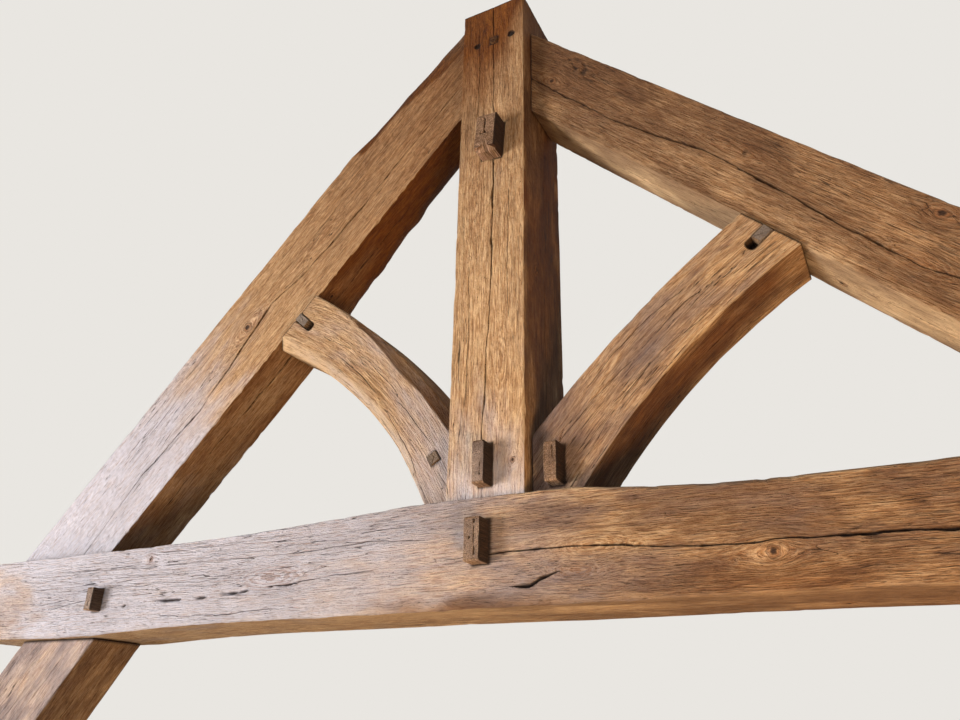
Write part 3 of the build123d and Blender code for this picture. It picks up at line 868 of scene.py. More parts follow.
def build(piece):
    """Writes a piece's mesh with its grain, knots and tones, and returns the object."""
    t = piece_rows(piece)
    cut = section(piece, t)
    rows, columns = cut["across"].shape
    share = cut["across"] / cut["depth"][:, None]
    grid, own, dirt, knots = skin(piece, t, cut, share)
    points, grain, dirts = [grid.reshape(-1, 3)], [own.reshape(-1, 3)], [dirt.ravel()]
    row = np.arange(rows - 1)[:, None] * columns
    col = np.arange(columns)[None, :]
    following = (col + 1) % columns
    quads = [np.stack([row + col, row + following, row + columns + following,
                       row + columns + col], -1).reshape(-1, 4)]
    triangles = []
    start = rows * columns
    for end, at_row in ((0, 0), (1, rows - 1)):
        previous = at_row * columns + np.arange(columns)
        for ring, ring_grain, ring_dirt in end_cut(piece, cut, share, at_row, grid[at_row], end):
            points.append(ring)
            grain.append(ring_grain)
            dirts.append(ring_dirt)
            turned = np.roll(previous, -1)
            if len(ring) == 1:
                fan = [previous, turned, np.full(columns, start)]
                triangles.append(np.stack(fan if end else [fan[1], fan[0], fan[2]], -1))
                start += 1
                continue
            current = start + np.arange(columns)
            band = [previous, turned, np.roll(current, -1), current]
            quads.append(np.stack(band if end else band[::-1], -1))
            start += columns
            previous = current
    points, grain, dirts = (np.concatenate(v) for v in (points, grain, dirts))
    on_ends = len(points) - rows * columns
    face, arris, knots = (
        np.concatenate([values.ravel(), np.full(on_ends, rest)])
        for values, rest in ((cut["face"], CUT_END), (cut["arris"], 0.0), (knots, NO_KNOT))
    )
    tone, patina = tone_values(piece, *grain.T, face, dirts, arris)
    pith = np.array([0.0, piece.heart[0] * float(np.median(cut["depth"])) +
                     float(np.median(cut["base"])), piece.heart[1] * piece.thickness])
    grain = (grain - pith) * MM
    grain[:, 0] += OWN_TREE * piece.seed
    return write_mesh(piece.name, points, np.concatenate(quads), np.concatenate(triangles), {
        "grain": ("FLOAT_VECTOR", "vector", grain), "tone": ("FLOAT_COLOR", "color", tone),
        "knot": ("FLOAT", "value", knots), "patina": ("FLOAT", "value", patina),
    })


def dress(piece, finish, turn=None, centre=None):
    """Builds a piece, stands it in its slot if it is a key or peg, and rides it."""
    made = build(piece)
    if centre is not None:
        co = np.zeros(len(made.data.vertices) * 3, np.float32)
        made.data.vertices.foreach_get("co", co)
        x, u, v = co.reshape(-1, 3).T
        spun = np.stack([
            centre[0] * MM + u * math.cos(turn) - v * math.sin(turn), x,
            centre[1] * MM + u * math.sin(turn) + v * math.cos(turn),
        ], -1)
        made.data.vertices.foreach_set("co", spun.astype(np.float32).ravel())
    made.data.materials.append(finish)
    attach(made, "root")
    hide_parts(piece.name)


# Finishes
def linear(hex_colour):
    """sRGB hex to the linear colour that a shader takes."""
    parts = [int(hex_colour[k:k + 2], 16) / 255 for k in (1, 3, 5)]
    return [p / 12.92 if p <= 0.04045 else ((p + 0.055) / 1.055) ** 2.4 for p in parts] + [1]


def add(tree, kind, inputs=None, **settings):
    """Adds a node, sets its properties, and sets or links its inputs."""
    made = tree.nodes.new("ShaderNode" + kind)
    for name, value in settings.items():
        setattr(made, name, value)
    for key, value in (inputs or {}).items():
        if isinstance(value, bpy.types.NodeSocket):
            tree.links.new(value, made.inputs[key])
        else:
            made.inputs[key].default_value = value
    return made


def a_metre(long, wide):
    """Waves a metre along, across and into the wood, from their length in millimetres."""
    return METRE / long, METRE / wide, METRE / wide


# How old oak is drawn. First, how far its fibres sway aside, in metres, and over what
# stretch in millimetres along and across.
SWAYS = (((1300, 210), 0.045), ((120, 44), 0.007), ((34, 13), 0.0016))
# Patterns: the length of their waves in millimetres along and across the fibres, how many
# finer waves they carry and how strong those are.
PATTERNS = {
    "fibre": (58, 3.6, 4.0, 0.7),
    "thread": (26, 2.4, 2.0, 0.6),
    "cord": (150, 8.5, 2.5, 0.6),
    "mottle": (62, 30, 4.0, 0.68),
    "stain": (250, 95, 3.0, 0.62),
    "cloud": (800, 240, 2.0, 0.5),
    "fissure": (40, 3.2, 1.6, 0.5),
    "pit": (11, 4.4, 2.0, 0.55),
    "hair": (460, 12, 1.0, 0.5),
    "adze": (27, 20, 2.0, 0.55),
}
# Values made of two others: the first times a number, plus the second.
SUMS = {
    "grime_and_shade": ("fibre", -0.34, "dirt"),
    "dulled": ("patina", 0.34, "stain"),
    "weathered": ("stain", 0.8, "grey"),
    "eye": ("fibre", 0.7, "knot"),
}
# Values that rise and drop again and again as another grows: that one, and how often.
TEETH = {"knot_ring": ("eye", 3.4), "ring": ("radius", None)}
# Shares from 0 to 1: the value they follow, where they start and where they are full.
SHARES = {
    "pale_fibre": ("fibre", 0.45, 0.58),
    "dark_fibre": ("fibre", 0.45, 0.34),
    "dark_cord": ("cord", 0.5, 0.33),
    "dark_thread": ("thread", 0.48, 0.38),
    "ring_rise": ("ring", 0.0, 0.7),
    "ring_fall": ("ring", 1.0, 0.84),
    "dark_mottle": ("mottle", 0.5, 0.28),
    "brown_mottle": ("mottle", 0.5, 0.7),
    "clouded": ("cloud", 0.15, 0.55),
    "grey_fibre": ("fibre", 0.12, 0.54),
    "grey_patch": ("weathered", 0.57, 1.25),
    "dull_patch": ("dulled", 0.5, 0.84),
    "patinated": ("patina", 0.0, 0.8),
    "near_knot": ("knot", 2.9, 1.2),
    "figure": ("knot_ring", 0.4, 0.85),
    "in_knot": ("eye", 1.45, 1.1),
    "knot_heart": ("eye", 1.05, 0.65),
    "knot_rim_in": ("eye", 1.05, 1.3),
    "knot_rim_out": ("eye", 1.6, 1.38),
    "rubbed": ("fibre", 0.3, 0.52),
    "fissures": ("fissure", 0.655, 0.73),
    "fissured": ("stain", 0.40, 0.58),
    "pits": ("pit", 0.665, 0.74),
    "pitted": ("mottle", 0.42, 0.6),
    "hair_over": ("hair", 0.488, 0.497),
    "hair_under": ("hair", 0.512, 0.503),
    "haired": ("cloud", 0.5, 0.62),
    "dirty": ("grime_and_shade", -0.02, 0.72),
}
# Coats of colour, laid one over another: colour, how it is laid, how strong, and the shares
# that say where.
COATS = (
    ("pale", "MIX", 1.0, ("pale_fibre",)),
    ("dark", "MIX", 0.3, ("dark_cord",)),
    ("dark", "MIX", 0.62, ("dark_fibre",)),
    ("dark", "MIX", 0.36, ("dark_thread",)),
    ("dark", "MIX", 0.18, ("ring_rise", "ring_fall")),
    ("brown", "MULTIPLY", 0.3, ("brown_mottle",)),
    ("dark", "MIX", 0.2, ("dark_mottle",)),
    # worn: the wear of the arrises, and on some lit undersides a painted highlight.
    ("pale", "MIX", 0.8, ("worn", "rubbed")),
    ("grey", "MIX", 0.92, ("grey_patch", "grey_fibre")),
    ("brown", "MULTIPLY", 1.0, ("brown", "clouded")),
    ("dull", "MULTIPLY", 1.0, ("dull_patch", "patinated")),
    ("dark", "MIX", 0.6, ("near_knot", "figure")),
    ("dark", "MIX", 0.6, ("in_knot",)),
    ("dirt", "MIX", 0.95, ("knot_heart",)),
    ("dirt", "MIX", 0.4, ("knot_rim_in", "knot_rim_out")),
    ("dirt", "MIX", 0.6, ("fissures", "fissured")),
    ("dirt", "MIX", 0.6, ("pits", "pitted")),
    ("dirt", "MIX", 0.8, ("hair_over", "hair_under", "haired")),
    # Last the darkening that the mesh carries: dirt, and painted shade in grooves, holes and on
    # faces turned from the lamps.
    ("dirt", "MIX", 0.94, ("dirty",)),
)
# Relief finer than the mesh: what it follows and how high that stands, as a part of
# RELIEF metres.
HEIGHTS = (
    ("fibre", 1.4, ()), ("thread", 0.9, ()), ("cord", 0.9, ()), ("adze", 1.5, ()),
    ("fissures", -0.9, ("fissured",)), ("pits", -0.8, ("pitted",)),
    ("hair_over", -0.8, ("hair_under", "haired")),
)
RELIEF, BUMP = 0.0072, 0.9
# Bare dry oak has little gloss.
DULLNESS, WOOD_IOR, SHINE = 0.8, 1.45, 0.28


def oak_values(tree, ring):
    """Every value by name that the coats and the relief of old oak follow.

    The mesh carries the grain as metres along, across and into the wood from its heart;
    ring is the width of a year's growth in metres."""
    at = {}
    for mark, kind in (("grain", "Vector"), ("patina", "Fac"), ("knot", "Fac")):
        at[mark] = add(tree, "Attribute", attribute_name=mark).outputs[kind]
    tone = add(tree, "Attribute", attribute_name="tone")
    split = add(tree, "SeparateColor", {0: tone.outputs["Color"]})
    at["brown"], at["grey"], at["dirt"] = split.outputs
    at["worn"] = tone.outputs["Alpha"]

    fibres = at["grain"]
    for size, reach in SWAYS:
        spot = add(tree, "VectorMath", {0: at["grain"], 1: a_metre(*size)}, operation="MULTIPLY")
        sway = add(tree, "TexNoise", {"Vector": spot.outputs[0], "Scale": 1.0, "Detail": 1.0})
        fibres = add(tree, "VectorMath", {0: sway.outputs["Color"], 1: (0, reach, reach),
                                          2: fibres}, operation="MULTIPLY_ADD").outputs[0]
    flat = add(tree, "VectorMath", {0: fibres, 1: (0, 1, 1)}, operation="MULTIPLY")
    at["radius"] = add(tree, "VectorMath", {0: flat.outputs[0]}, operation="LENGTH").outputs[1]

    for pattern, (*size, detail, rough) in PATTERNS.items():
        spot = add(tree, "VectorMath", {0: fibres, 1: a_metre(*size)}, operation="MULTIPLY")
        at[pattern] = add(tree, "TexNoise", {
            "Vector": spot.outputs[0], "Scale": 1.0, "Detail": detail, "Roughness": rough,
        }).outputs[0]
    for total, (first, factor, second) in SUMS.items():
        at[total] = add(tree, "Math", {0: at[first], 1: factor, 2: at[second]},
                        operation="MULTIPLY_ADD").outputs[0]
    for tooth, (value, often) in TEETH.items():
        count = add(tree, "Math", {0: at[value], 1: often or 1 / ring}, operation="MULTIPLY")
        at[tooth] = add(tree, "Math", {0: count.outputs[0]}, operation="FRACT").outputs[0]
    for share, (value, start, full) in SHARES.items():
        at[share] = add(tree, "MapRange", {0: at[value], 1: start, 2: full, 3: 0.0, 4: 1.0},
                        interpolation_type="SMOOTHSTEP").outputs[0]
    return at


def oak(name, colours, ring):
    """Old oak under no coat: fibres, rings, fissures and small checks along the grain."""
    material = bpy.data.materials.new(name)
    material.use_nodes = True
    tree = material.node_tree
    tree.nodes.clear()
    at = oak_values(tree, ring)
    laid = linear(colours["base"])
    for colour, way, strength, shares in COATS:
        for share in shares:
            strength = add(tree, "Math", {0: strength, 1: at[share]},
                           operation="MULTIPLY").outputs[0]
        coat = add(tree, "Mix", {0: strength, 6: laid, 7: linear(colours[colour])},
                   data_type="RGBA", blend_type=way, clamp_factor=True)
        laid = coat.outputs[2]
    height = 0.0
    for value, weight, shares in HEIGHTS:
        for share in shares:
            weight = add(tree, "Math", {0: weight, 1: at[share]}, operation="MULTIPLY").outputs[0]
        height = add(tree, "Math", {0: at[value], 1: weight, 2: height},
                     operation="MULTIPLY_ADD").outputs[0]
    bump = add(tree, "Bump", {"Strength": BUMP, "Distance": RELIEF, "Height": height})
    shader = add(tree, "BsdfPrincipled", {
        "Base Color": laid, "Roughness": DULLNESS, "IOR": WOOD_IOR, "Specular IOR Level": SHINE,
        "Normal": bump.outputs[0],
    })
    add(tree, "OutputMaterial", {"Surface": shader.outputs[0]})
    return material


# Hewn oak, open to dry air for centuries: honey on the faces, warm brown where the bark
# side and the heart show, lilac grey where daylight has bleached it.
hewn_oak = oak("hewn_oak", dict(
    base="#c29c72", pale="#e0c199", dark="#785134", brown="#946a33", grey="#c5c7d8",
    dull="#b2a8a4", dirt="#251710"), ring=0.014)
# Riven oak keys: darker and greyer than the frame, their end grain to the eye.
riven_oak = oak("riven_oak_keys", dict(
    base="#a88a6c", pale="#d3b49c", dark="#584232", brown="#8f6b48", grey="#b8a8a0",
    dull="#a89e9a", dirt="#21150e"), ring=0.010)
# Cleft oak pegs, their end grain dark from handling and dust; heads sunk in their holes are
# darker still with painted shade.
cleft_oak = oak("cleft_oak_pegs", dict(
    base="#8d6e50", pale="#a58a6c", dark="#4d3624", brown="#9c8060", grey="#9f948c",
    dull="#8f8683", dirt="#1c110b"), ring=0.007)

# The keys, through the frame from its face side: the timber they lie in, their section,
# how far their top leans to the left, and their levels of brown, grey and patina. Worn
# arrises go round as a timber's do, with the left side in the face side's place.
KEYS = {
    "post_key_upper": dict(
        host="king_post", width=69, height=128, turn=math.radians(-4), worn=(5, 4, 4, 5),
        levels=(0.5, 0.0, 0.1), head_bevel=19, splits=(
            ((0.46, 0.46), (0.98, 0.42), 2.6), ((0.48, 0.03), (0.43, 0.98), 2.4),
            ((0.44, 0.44), (0.5, 0.5), 5.0),
        )),
    "post_key_lower": dict(
        host="king_post", width=38.5, height=112, turn=0, worn=(4, 6, 9, 5),
        levels=(0.1, 0.7, 0.7), splits=(((0.1, 0.6), (0.5, 0.66), 0.8),)),
    "tie_key": dict(
        host="tie_beam", width=48, height=107, turn=0, worn=(4, 5, 6, 5),
        levels=(0.0, 0.4, 0.5), splits=(
            ((0.03, 0.62), (0.97, 0.6), 1.2), ((0.5, 0.3), (0.57, 0.33), 4.0),
        )),
    "brace_key_right": dict(
        host="brace_right", width=39, height=102, turn=0, worn=(5, 6, 6, 5),
        levels=(0.4, 0.3, 0.6), splits=(((0.55, 0.66), (0.95, 0.6), 0.8),)),
}
for side, splits in (("left", (((0.2, 0.5), (0.6, 0.55), 1.0),)), ("right", ())):
    KEYS[f"tie_end_key_{side}"] = dict(
        host="tie_beam", width=33, height=68, turn=0, worn=(4, 4, 4, 4),
        levels=(0.0, 0.7, 0.5), splits=splits)
SQUARE_PEG_SIDE, SQUARE_PEG_TURN = 31.5, math.radians(32)
PEG_GAP = 0.3                         # between a flat peg and its slot
PEG_HOLE_DEPTH, SLOT_DEPTH = 14, 38


def middle_of(node):
    low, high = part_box(node)
    return (low.x + high.x) / 2 / MM, (low.z + high.z) / 2 / MM


def key_ways(timber):
    """Where keys pass through a timber."""
    return [
        (*middle_of(node), key["width"] / 2, key["height"] / 2, key["turn"])
        for node, key in KEYS.items() if key["host"] == timber
    ]


tie, post = tie_outline(), post_outline()
rafters = {side: rafter_outline(half) for side, half in HALVES.items()}
braces = {side: brace_outline(half) for side, half in HALVES.items()}
legs = {side: leg_outline(half) for side, half in HALVES.items()}
square_peg = middle_of("brace_foot_peg_left")
apex_holes = [
    (ragged_ring(*middle_of(f"apex_peg_{side}"), radius), PEG_HOLE_DEPTH)
    for side, radius in (("left", 10.5), ("right", 11.5))
]

timbers = [
    Piece(
        "tie_beam", tie, -135, 270, rows=13, columns=(3.7, 7, 7, 5.5), worn=(7, 4, 7, 6),
        heart=(0.42, 0.55), seed=1, sockets=key_ways("tie_beam"),
        drawn=(
            (8.0, (-1286, 1877), (-1160, 1886), (-1037, 1888), (-867, 1890), (-701, 1900),
             (-565, 1910), (-467, 1917)),
            (8.0, (-110, 1937), (51, 1941), (200, 1945), (340, 1936), (510, 1921), (649, 1921),
             (813, 1922), (978, 1915), (1500, 1928)),
            (5.0, (-1520, 1888), (-1430, 1900), (-1370, 1908)),
            (13.0, (80, 1864), (126, 1866), (150, 1880), (196, 1893)),
            (2.0, (-1030, 1846), (-820, 1840), (-600, 1848)),
            (2.0, (-560, 1990), (-330, 1998), (-160, 1990))),
        shakes=(
            (LOWER, 3.5, (-900, 120), (-300, 138), (300, 126), (900, 150)),
            (LOWER, 2.4, (180, 60), (460, 72), (800, 64)),
            (BACK, 4.5, (-1500, 120), (-700, 138), (200, 120), (1400, 132)),
            (UPPER, 4.0, (-1100, 150), (-500, 138), (0, 140), (900, 120))),
        knots=((FRONT, 652, 99, 12), (FRONT, -1113, 213, 8), (BACK, 500, 170, 14),
               (BACK, -800, 70, 18), (LOWER, 760, 190, 12)),
        whorls=((FRONT, 271, 142, 90, 28, 34), (FRONT, 234, 90, 80, 24, 26),
                (FRONT, 640, 95, 110, 40, 22), (FRONT, -640, 130, 140, 40, 16)),
        chips=((0, -190, 60, 16), (0, -300, 90, 12), (0, -480, 110, 14), (0, -700, 130, 8),
               (0, -1500, 180, 12), (0, -110, 50, 12), (0, 60, 50, 10), (0, 190, 110, 20),
               (0, 360, 90, 15), (0, 820, 120, 8), (3, 500, 200, 10)),
        bevels=((1, 0.6, 0, (150, 0), (204, 6), (600, 8), (1000, 6), (1300, 2)),),
        brown=((-1880, 0.0), (-500, 0.05), (0, 0.1), (500, 0.2), (1880, 0.3)),
        grey=((-1880, 0.95), (-900, 0.85), (-350, 0.7), (0, 0.45), (500, 0.25), (1880, 0.2)),
        patina=((-1880, 0.2), (-400, 0.3), (0, 0.45), (400, 0.7), (1880, 1.0)),
        tones=(({"patina": 0.3}, FRONT, 520, 190, 330, 60),
               ({"patina": 0.3}, FRONT, 150, 215, 110, 34),
               ({"brown": 0.8}, FRONT, 20, 24, 330, 34),
               ({"brown": 0.5}, FRONT, 560, 45, 330, 55),
               ({"grey": -0.4}, FRONT, -1760, 90, 260, 150),
               ({"brown": 0.2}, FRONT, -1760, 60, 240, 110),
               # Painted light on the tie's underside, as if lit from below: paler.
               ({"worn": 0.5}, LOWER, 300, 40, 1500, 90),
               ({"grey": 0.3}, FRONT, -600, 200, 500, 60))),
    Piece(
        "king_post", post, -125, 275, rows=9, columns=(3.1, 5.0, 6.5, 6.5),
        worn=(4, 4, 7, 7), hewn=2.0, heart=(0.46, 0.4), seed=2, openings=apex_holes,
        sockets=key_ways("king_post") + [(*middle_of("apex_peg_middle"), 14, 14, 0)],
        shakes=(
            (FRONT, 6.5, (1990, 102), (2270, 101), (2452, 106), (2631, 115), (2792, 116),
             (2929, 119), (3070, 118), (3250, 117), (3513, 113), (3900, 110)),
            (FRONT, 1.8, (2330, 46), (2520, 52), (2760, 49)),
            (FRONT, 1.8, (2560, 170), (2800, 166), (2990, 172)),
            (FRONT, 2.2, (3290, 60), (3480, 64), (3700, 60)),
            (UPPER, 3.0, (2300, 150), (2700, 140), (3150, 152)),
            (BACK, 5.0, (2150, 110), (2700, 124), (3500, 116)),
            (LOWER, 3.5, (2400, 130), (2900, 140), (3300, 128))),
        knots=((FRONT, 2168, 186, 7), (BACK, 2600, 70, 14), (UPPER, 2750, 90, 12)),
        whorls=((FRONT, 2440, 150, 120, 30, 14), (FRONT, 2980, 60, 150, 34, 12)),
        chips=((1, 2300, 60, 6), (0, 2700, 80, 5), (1, 3500, 60, 6), (1, 2880, 50, 5)),
        # The brown rising and the grey falling towards the top are painted shade on the post's
        # head.
        brown=((2074, 0.0), (2600, 0.08), (3050, 0.2), (3250, 0.5), (3450, 0.85), (3754, 1.3)),
        grey=((2074, 0.6), (2400, 0.15), (3300, 0.1), (3754, -0.2)),
        patina=((2074, 0.25), (3754, 0.35)),
        # Painted shade on the post's right side, turned from the lamps: brown, dirt and patina.
        tones=(({"brown": 0.8, "dirt": 0.16, "patina": 0.4}, UPPER, 2900, 140, 1200, 260),
               ({"brown": 0.2}, LOWER, 2900, 140, 1200, 260))),
    Piece(
        "rafter_left", rafters["left"], -74, 196, rows=11, columns=(3.9, 6.5, 8, 5.0),
        worn=(4, 5, 7, 7), heart=(0.45, 0.62), seed=3,
        shakes=(
            (FRONT, 6.5, (-150, 90), (243, 119), (389, 110), (534, 101), (728, 123), (950, 159),
             (1088, 126), (1284, 112), (1491, 108), (1702, 106), (2120, 103)),
            (FRONT, 2.2, (120, 210), (420, 222), (760, 236)),
            (FRONT, 2.0, (980, 216), (1200, 205), (1400, 210)),
            (LOWER, 3.5, (200, 60), (900, 84), (1500, 70)),
            (BACK, 4.5, (300, 140), (1100, 170), (1700, 150)),
            (UPPER, 4.5, (100, 90), (900, 80), (1600, 96))),
        knots=((FRONT, 840, 177, 16), (BACK, 1200, 90, 16), (LOWER, 1100, 50, 9)),
        whorls=((FRONT, 850, 172, 130, 46, 26), (FRONT, 1250, 170, 150, 40, 14)),
        bevels=((1, 0.0, 0.8, (1480, 8), (1572, 45), (1723, 48), (1872, 75), (1995, 88),
                 (2300, 88)),
                (3, 0.3, 1, (900, 0), (1100, 30), (1400, 60), (1700, 80), (2300, 80))),
        bark=((1500, 268), (1572, 261), (1723, 265), (1872, 230), (1995, 195), (2300, 170)),
        brown=((-300, 0.0), (500, 0.08), (1100, 0.35), (1600, 0.6), (2200, 0.9)),
        grey=((-300, 1.1), (300, 0.9), (700, 0.35), (1000, 0.1), (1400, 0.0)),
        patina=((-300, 0.0), (1200, 0.15), (2200, 0.5)),
        # Painted shade on the left rafter's underside, turned from the window light: brown and
        # dirt.
        tones=(({"brown": 0.7, "dirt": 0.1}, LOWER, 1000, 80, 1600, 260),)),
    Piece(
        "rafter_right", rafters["right"], -74, 166, rows=11, columns=(3.8, 6.5, 7, 4.8),
        worn=(4, 6, 7, 7), heart=(0.55, 0.58), seed=4,
        shakes=(
            (FRONT, 8.0, (250, 96), (471, 88), (551, 75), (647, 78), (809, 90), (993, 105),
             (1190, 112), (1354, 95), (1499, 84), (1775, 91), (2080, 96)),
            (FRONT, 2.0, (700, 170), (980, 180), (1240, 172)),
            (LOWER, 3.5, (300, 96), (900, 80), (1500, 90)),
            (BACK, 4.5, (200, 120), (1000, 110), (1600, 130)),
            (UPPER, 4.5, (200, 70), (900, 90), (1500, 80))),
        knots=((FRONT, 1782, 114, 14), (FRONT, 587, 203, 13), (BACK, 900, 160, 14),
               (LOWER, 700, 110, 10)),
        whorls=((FRONT, 560, 84, 110, 34, 26), (FRONT, 1105, 150, 130, 30, 16)),
        rough=((FRONT, 1745, 190, 32), (FRONT, 1100, 152, 12)),
        brown=((-300, 0.35), (600, 0.4), (1300, 0.5), (2000, 0.65)),
        grey=((-300, 0.1), (2000, 0.06)), patina=((-300, 0.5), (2000, 0.75)),
        tones=(({"patina": 0.3}, FRONT, 1500, 200, 500, 60),
               # Painted highlight on the right rafter's underside, facing the window light: paler
               # and less brown.
               ({"worn": 1.2}, LOWER, 900, 70, 1400, 140),
               ({"brown": -0.5}, LOWER, 900, 60, 1400, 140))),
    Piece(
        "brace_left", braces["left"], -86, 185, rows=7.5, columns=(3.2, 6.5, 7, 4.5),
        worn=(3, 4, 6, 6), ragged=5, hewn=1.6, heart=(0.5, 0.4), seed=5,
        drawn=(
            (2.4, (-595, 2673), (-569, 2650), (-480, 2600)),
            (1.7, (-440, 2570), (-340, 2470), (-270, 2376)),
            (1.7, (-300, 2402), (-240, 2330), (-184, 2262)),
            (1.5, (-520, 2580), (-430, 2500), (-380, 2440)),
            (1.5, (-330, 2370), (-270, 2270), (-220, 2170))),
        shakes=(
            (BACK, 3.0, (100, 64), (500, 60), (700, 66)),
            (LOWER, 2.4, (150, 90), (450, 100), (700, 86))),
        sockets=((*square_peg, SQUARE_PEG_SIDE / 2, SQUARE_PEG_SIDE / 2, SQUARE_PEG_TURN),),
        openings=((slot_edge(left), SLOT_DEPTH),),
        bevels=((0, 1, 0, (0, 4), (100, 10), (200, 22), (350, 32), (600, 36), (800, 34)),
                (1, 0.9, 1, (0, 34), (150, 36), (350, 30), (500, 18), (650, 8), (846, 4))),
        grey=((0, 0.6), (400, 0.32), (800, 0.25)), patina=((0, 0.15), (800, 0.05)),
        # Painted shade on the left brace's top: brown and dirt.
        tones=(({"brown": 0.8, "dirt": 0.12}, UPPER, 300, 90, 420, 200),
               # Painted sunlight on the left brace's lower bevel and the face's lower rim: paler,
               # with less patina.
               ({"worn": 1.0}, LOWER, 450, 40, 520, 90),
               ({"worn": 0.9}, FRONT, 450, 6, 520, 20),
               ({"patina": -0.5}, LOWER, 450, 40, 520, 120))),
    Piece(
        "brace_right", braces["right"], -86, 185, rows=7.5, columns=(3.2, 6.5, 7, 4.5),
        worn=(4, 5, 6, 6), ragged=12, hewn=1.6, heart=(0.5, 0.45), seed=6,
        drawn=(
            (1.8, (187, 2214), (270, 2300), (380, 2390)),
            (2.0, (400, 2415), (520, 2520), (650, 2590)),
            (1.6, (330, 2290), (450, 2400), (560, 2470)),
            (1.6, (250, 2330), (380, 2460), (520, 2560))),
        shakes=(
            (BACK, 3.0, (100, 60), (500, 66), (700, 60)),
            (LOWER, 5.0, (140, 92), (400, 100), (720, 90))),
        knots=((FRONT, 120, 118, 5),),
        openings=((slot_edge(right), SLOT_DEPTH),), sockets=key_ways("brace_right"),
        chips=((0, 300, 60, 8), (0, 520, 70, 10), (0, 650, 40, 7), (1, 420, 50, 6)),
        brown=((0, 0.2), (800, 0.15)), grey=((0, 0.4), (800, 0.25)),
        patina=((0, 0.8), (800, 0.45)),
        # Painted shade on the right brace's underside, turned from the window light: brown.
        tones=(({"brown": 0.7}, LOWER, 400, 70, 600, 120),)),
]
for number, (side, half) in enumerate(HALVES.items()):
    timbers.append(Piece(
        f"leg_{side}", legs[side], -100, 185, rows=16, columns=(4.6, 8, 8, 6),
        worn=(6, 6, 7, 7), ragged=9, seed=7 + number,
        drawn=((2.5, (half["side"] * 1463, 1740), (half["side"] * 1559, 1627)),),
        shakes=(
            (FRONT, 4.0, (260, 120), (800, 134), (1500, 120), (2100, 128)),
            (LOWER, 3.5, (200, 80), (900, 96), (1700, 84)),
            (BACK, 4.5, (200, 120), (1000, 140), (1900, 130)),
            (UPPER, 4.0, (300, 90), (1200, 100), (2000, 92))),
        knots=((FRONT, 900, 80, 13), (BACK, 1300, 180, 15), (LOWER, 600, 120, 11)),
        whorls=((FRONT, 910, 84, 140, 50, 26),),
        chips=((0, 2200, 160, 10), (1, 1500, 120, 7)),
        brown=((0, 0.12 + 0.15 * number), (2300, 0.3)),
        grey=((0, 0.6), (600, 0.5), (2300, 0.3)), patina=((0, 0.7), (2300, 0.4))))

for timber in timbers:
    dress(timber, hewn_oak)


def dress_stick(node, width, height, turn, middle, sunk, levels, slot, finish, **marks):
    """Dresses a key or peg, whose head lies sunk in its hole by so much."""
    low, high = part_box(node)
    line = stick_outline(high.y / MM, low.y / MM + sunk, height)
    tones = {tone: ((0, level),) for tone, level in zip(("brown", "grey", "patina"), levels)}
    stick = Piece(node, line, -width / 2, width, end_grey=1, **tones, **marks)
    dress(stick, finish, turn, middle)


for number, (node, key) in enumerate(KEYS.items()):
    marks = {name: value for name, value in key.items() if name != "host"}
    dress_stick(
        node, middle=middle_of(node), sunk=0, slot="key_oak", finish=riven_oak,
        rows=8, columns=(4, 4, 4, 4), ragged=4, hewn=0.9, heart=(0.5, 1.6), seed=11 + number,
        ends=(6, 3), dark_ends=(0.4, 0.08), **marks,
        # Painted shade on each key's right side, away from the lamps: dirt and brown.
        tones=(({"dirt": 0.7, "brown": 0.8}, BACK, 0, key["height"] / 2, 900, 200),))

# Pegs: their section, turn, middle, roundness, how deep their head lies, and their levels.
PEGS = {
    "brace_foot_peg_left": (SQUARE_PEG_SIDE, SQUARE_PEG_SIDE, SQUARE_PEG_TURN, square_peg,
                            0.1, 0, (0.3, 0.6, 0.4)),
}
for side, size, sunk in (("left", 18, 9), ("middle", 30, 0), ("right", 20, 7)):
    node = f"apex_peg_{side}"
    PEGS[node] = size, size, 0, middle_of(node), 0.46, sunk, (1.1, 0, 0.4)
for side, half in HALVES.items():
    start, way = slot_line(half)
    width, length = SLOT_WIDTH - 2 * PEG_GAP, half["peg_length"] - 2 * PEG_GAP
    PEGS[f"brace_head_peg_{side}"] = (
        width, length - 2, -half["side"] * (math.pi / 2 - half["slot_fall"]),
        start + way * half["peg_length"] / 2, 0.08, 0, (0.1, 0.9, 0.4))
SPLIT_FROM = 29                       # height of the pegs that show a split
for number, (node, marks) in enumerate(PEGS.items()):
    width, height, turn, middle, roundness, sunk, levels = marks
    # A sunk peg's head end is made dark: painted shade in the hole it lies in.
    dress_stick(
        node, width, height, turn, middle, sunk, levels, "peg_oak", cleft_oak,
        rows=12, columns=(2.5, 2.5, 2.5, 2.5), worn=(width * roundness,) * 4, ragged=1,
        hewn=0.4, seed=21 + number, ends=(2, 1.6), dark_ends=(0.5, 2.6 if sunk else 0.2),
        splits=(((0.2, 0.3), (0.7, 0.75), 1.0),) if height > SPLIT_FROM else ())

# Floor, light and camera. The camera sees the floor pale up to the backdrop, with the
# truss's shadow on it, and the lamps and the world light the truss at a plain level.
FLOOR_SIDE, FLOOR_HAZE, BACKDROP, AMBIENT = 60.0, 0.68, "#e9e6e1", 0.16
half_floor = FLOOR_SIDE / 2
floor_mesh = bpy.data.meshes.new("floor")
floor_mesh.from_pydata(
    [(x * half_floor, y * half_floor, 0) for x, y in ((-1, -1), (1, -1), (1, 1), (-1, 1))],
    [], [(0, 1, 2, 3)])
floor = into_scene("floor", floor_mesh)
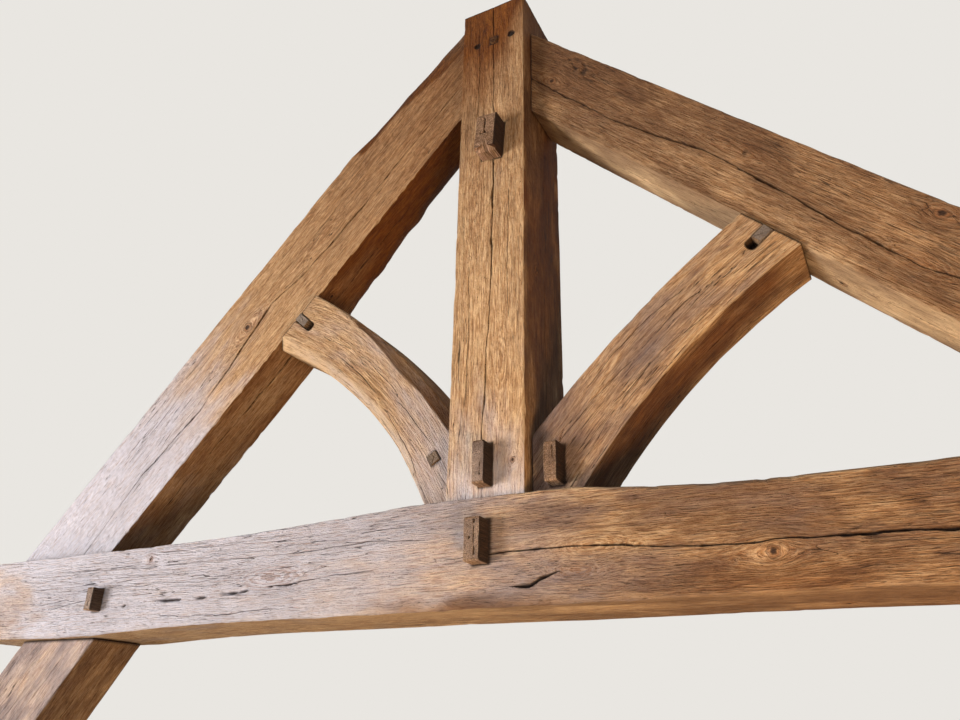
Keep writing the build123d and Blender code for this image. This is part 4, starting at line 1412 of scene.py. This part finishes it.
# Matt pale plaster of a studio floor.
floor_paint = bpy.data.materials.new("studio_floor")
floor_paint.use_nodes = True
floor_shader = floor_paint.node_tree.nodes["Principled BSDF"]
floor_shader.inputs["Base Color"].default_value = linear("#dedad4")
floor_shader.inputs["Roughness"].default_value = 0.9
floor_mesh.materials.append(floor_paint)
paint = floor_paint.node_tree
floor_path = add(paint, "LightPath")
haze_share = add(paint, "Math", {0: floor_path.outputs["Is Camera Ray"], 1: FLOOR_HAZE},
                 operation="MULTIPLY")
haze = add(paint, "Emission", {"Color": linear(BACKDROP), "Strength": 1.0})
hazy = add(paint, "MixShader", {0: haze_share.outputs[0], 1: floor_shader.outputs[0],
                                2: haze.outputs[0]})
paint.links.new(hazy.outputs[0], paint.nodes["Material Output"].inputs["Surface"])

world = bpy.data.worlds.new("studio")
bpy.context.scene.world = world
world.use_nodes = True
sky = world.node_tree
sky.nodes.clear()
light_path = add(sky, "LightPath")
seen = add(sky, "Math", {0: light_path.outputs["Is Camera Ray"],
                         1: light_path.outputs["Is Glossy Ray"]}, operation="MAXIMUM")
ambient = add(sky, "Background", {"Color": linear("#f4efe8"), "Strength": AMBIENT})
backdrop = add(sky, "Background", {"Color": linear(BACKDROP), "Strength": 1.0})
which = add(sky, "MixShader", {0: seen.outputs[0], 1: ambient.outputs[0],
                               2: backdrop.outputs[0]})
add(sky, "OutputWorld", {"Surface": which.outputs[0]})

# Square lamps: place, what they aim at, side, power and colour.
LAMPS = {
    "window_light": ((-5.6, -4.6, 0.9), (0.1, 0, 2.4), 2.6, 850, "#fff7ee"),
    "front_fill": ((1.5, -7.0, 2.2), (0.2, 0, 2.6), 3.0, 130, "#fff8f0"),
    "warm_bounce": ((2.0, -1.4, 0.3), (1.2, 0, 2.6), 1.2, 98, "#ffcf94"),
}
for name, (place, aim, side, power, colour) in LAMPS.items():
    lamp = bpy.data.lights.new(name, "AREA")
    lamp.shape, lamp.size, lamp.energy = "SQUARE", side, power
    lamp.color = linear(colour)[:3]
    light = into_scene(name, lamp)
    light.location = place
    light.rotation_euler = (Vector(aim) - Vector(place)).to_track_quat("-Z", "Y").to_euler()

# Camera: 1.56 m above the floor, looking up and to the left.
CAMERA_PLACE = (0.87445, -1.79963, 1.55643)
FOCAL_PIXELS, FRAME_PIXELS, SENSOR = 794.58, 960.0, 36.0
YAW, PITCH, ROLL = (math.radians(a) for a in (28.0792, 25.3272, 1.3177))
forward = Vector((-math.sin(YAW) * math.cos(PITCH), math.cos(YAW) * math.cos(PITCH),
                  math.sin(PITCH)))
level = Vector((math.cos(YAW), math.sin(YAW), 0))
upright = level.cross(forward)
camera_right = level * math.cos(ROLL) + upright * math.sin(ROLL)
camera_up = upright * math.cos(ROLL) - level * math.sin(ROLL)
camera = into_scene("camera", bpy.data.cameras.new("camera"))
camera.data.sensor_width = SENSOR
camera.data.lens = FOCAL_PIXELS / FRAME_PIXELS * SENSOR
turned = Matrix((camera_right, camera_up, -forward)).transposed().to_4x4()
camera.matrix_world = Matrix.Translation(CAMERA_PLACE) @ turned
camera.data.clip_start, camera.data.clip_end = 0.05, 100
bpy.context.scene.camera = camera
bpy.context.scene.view_settings.view_transform = "Standard"
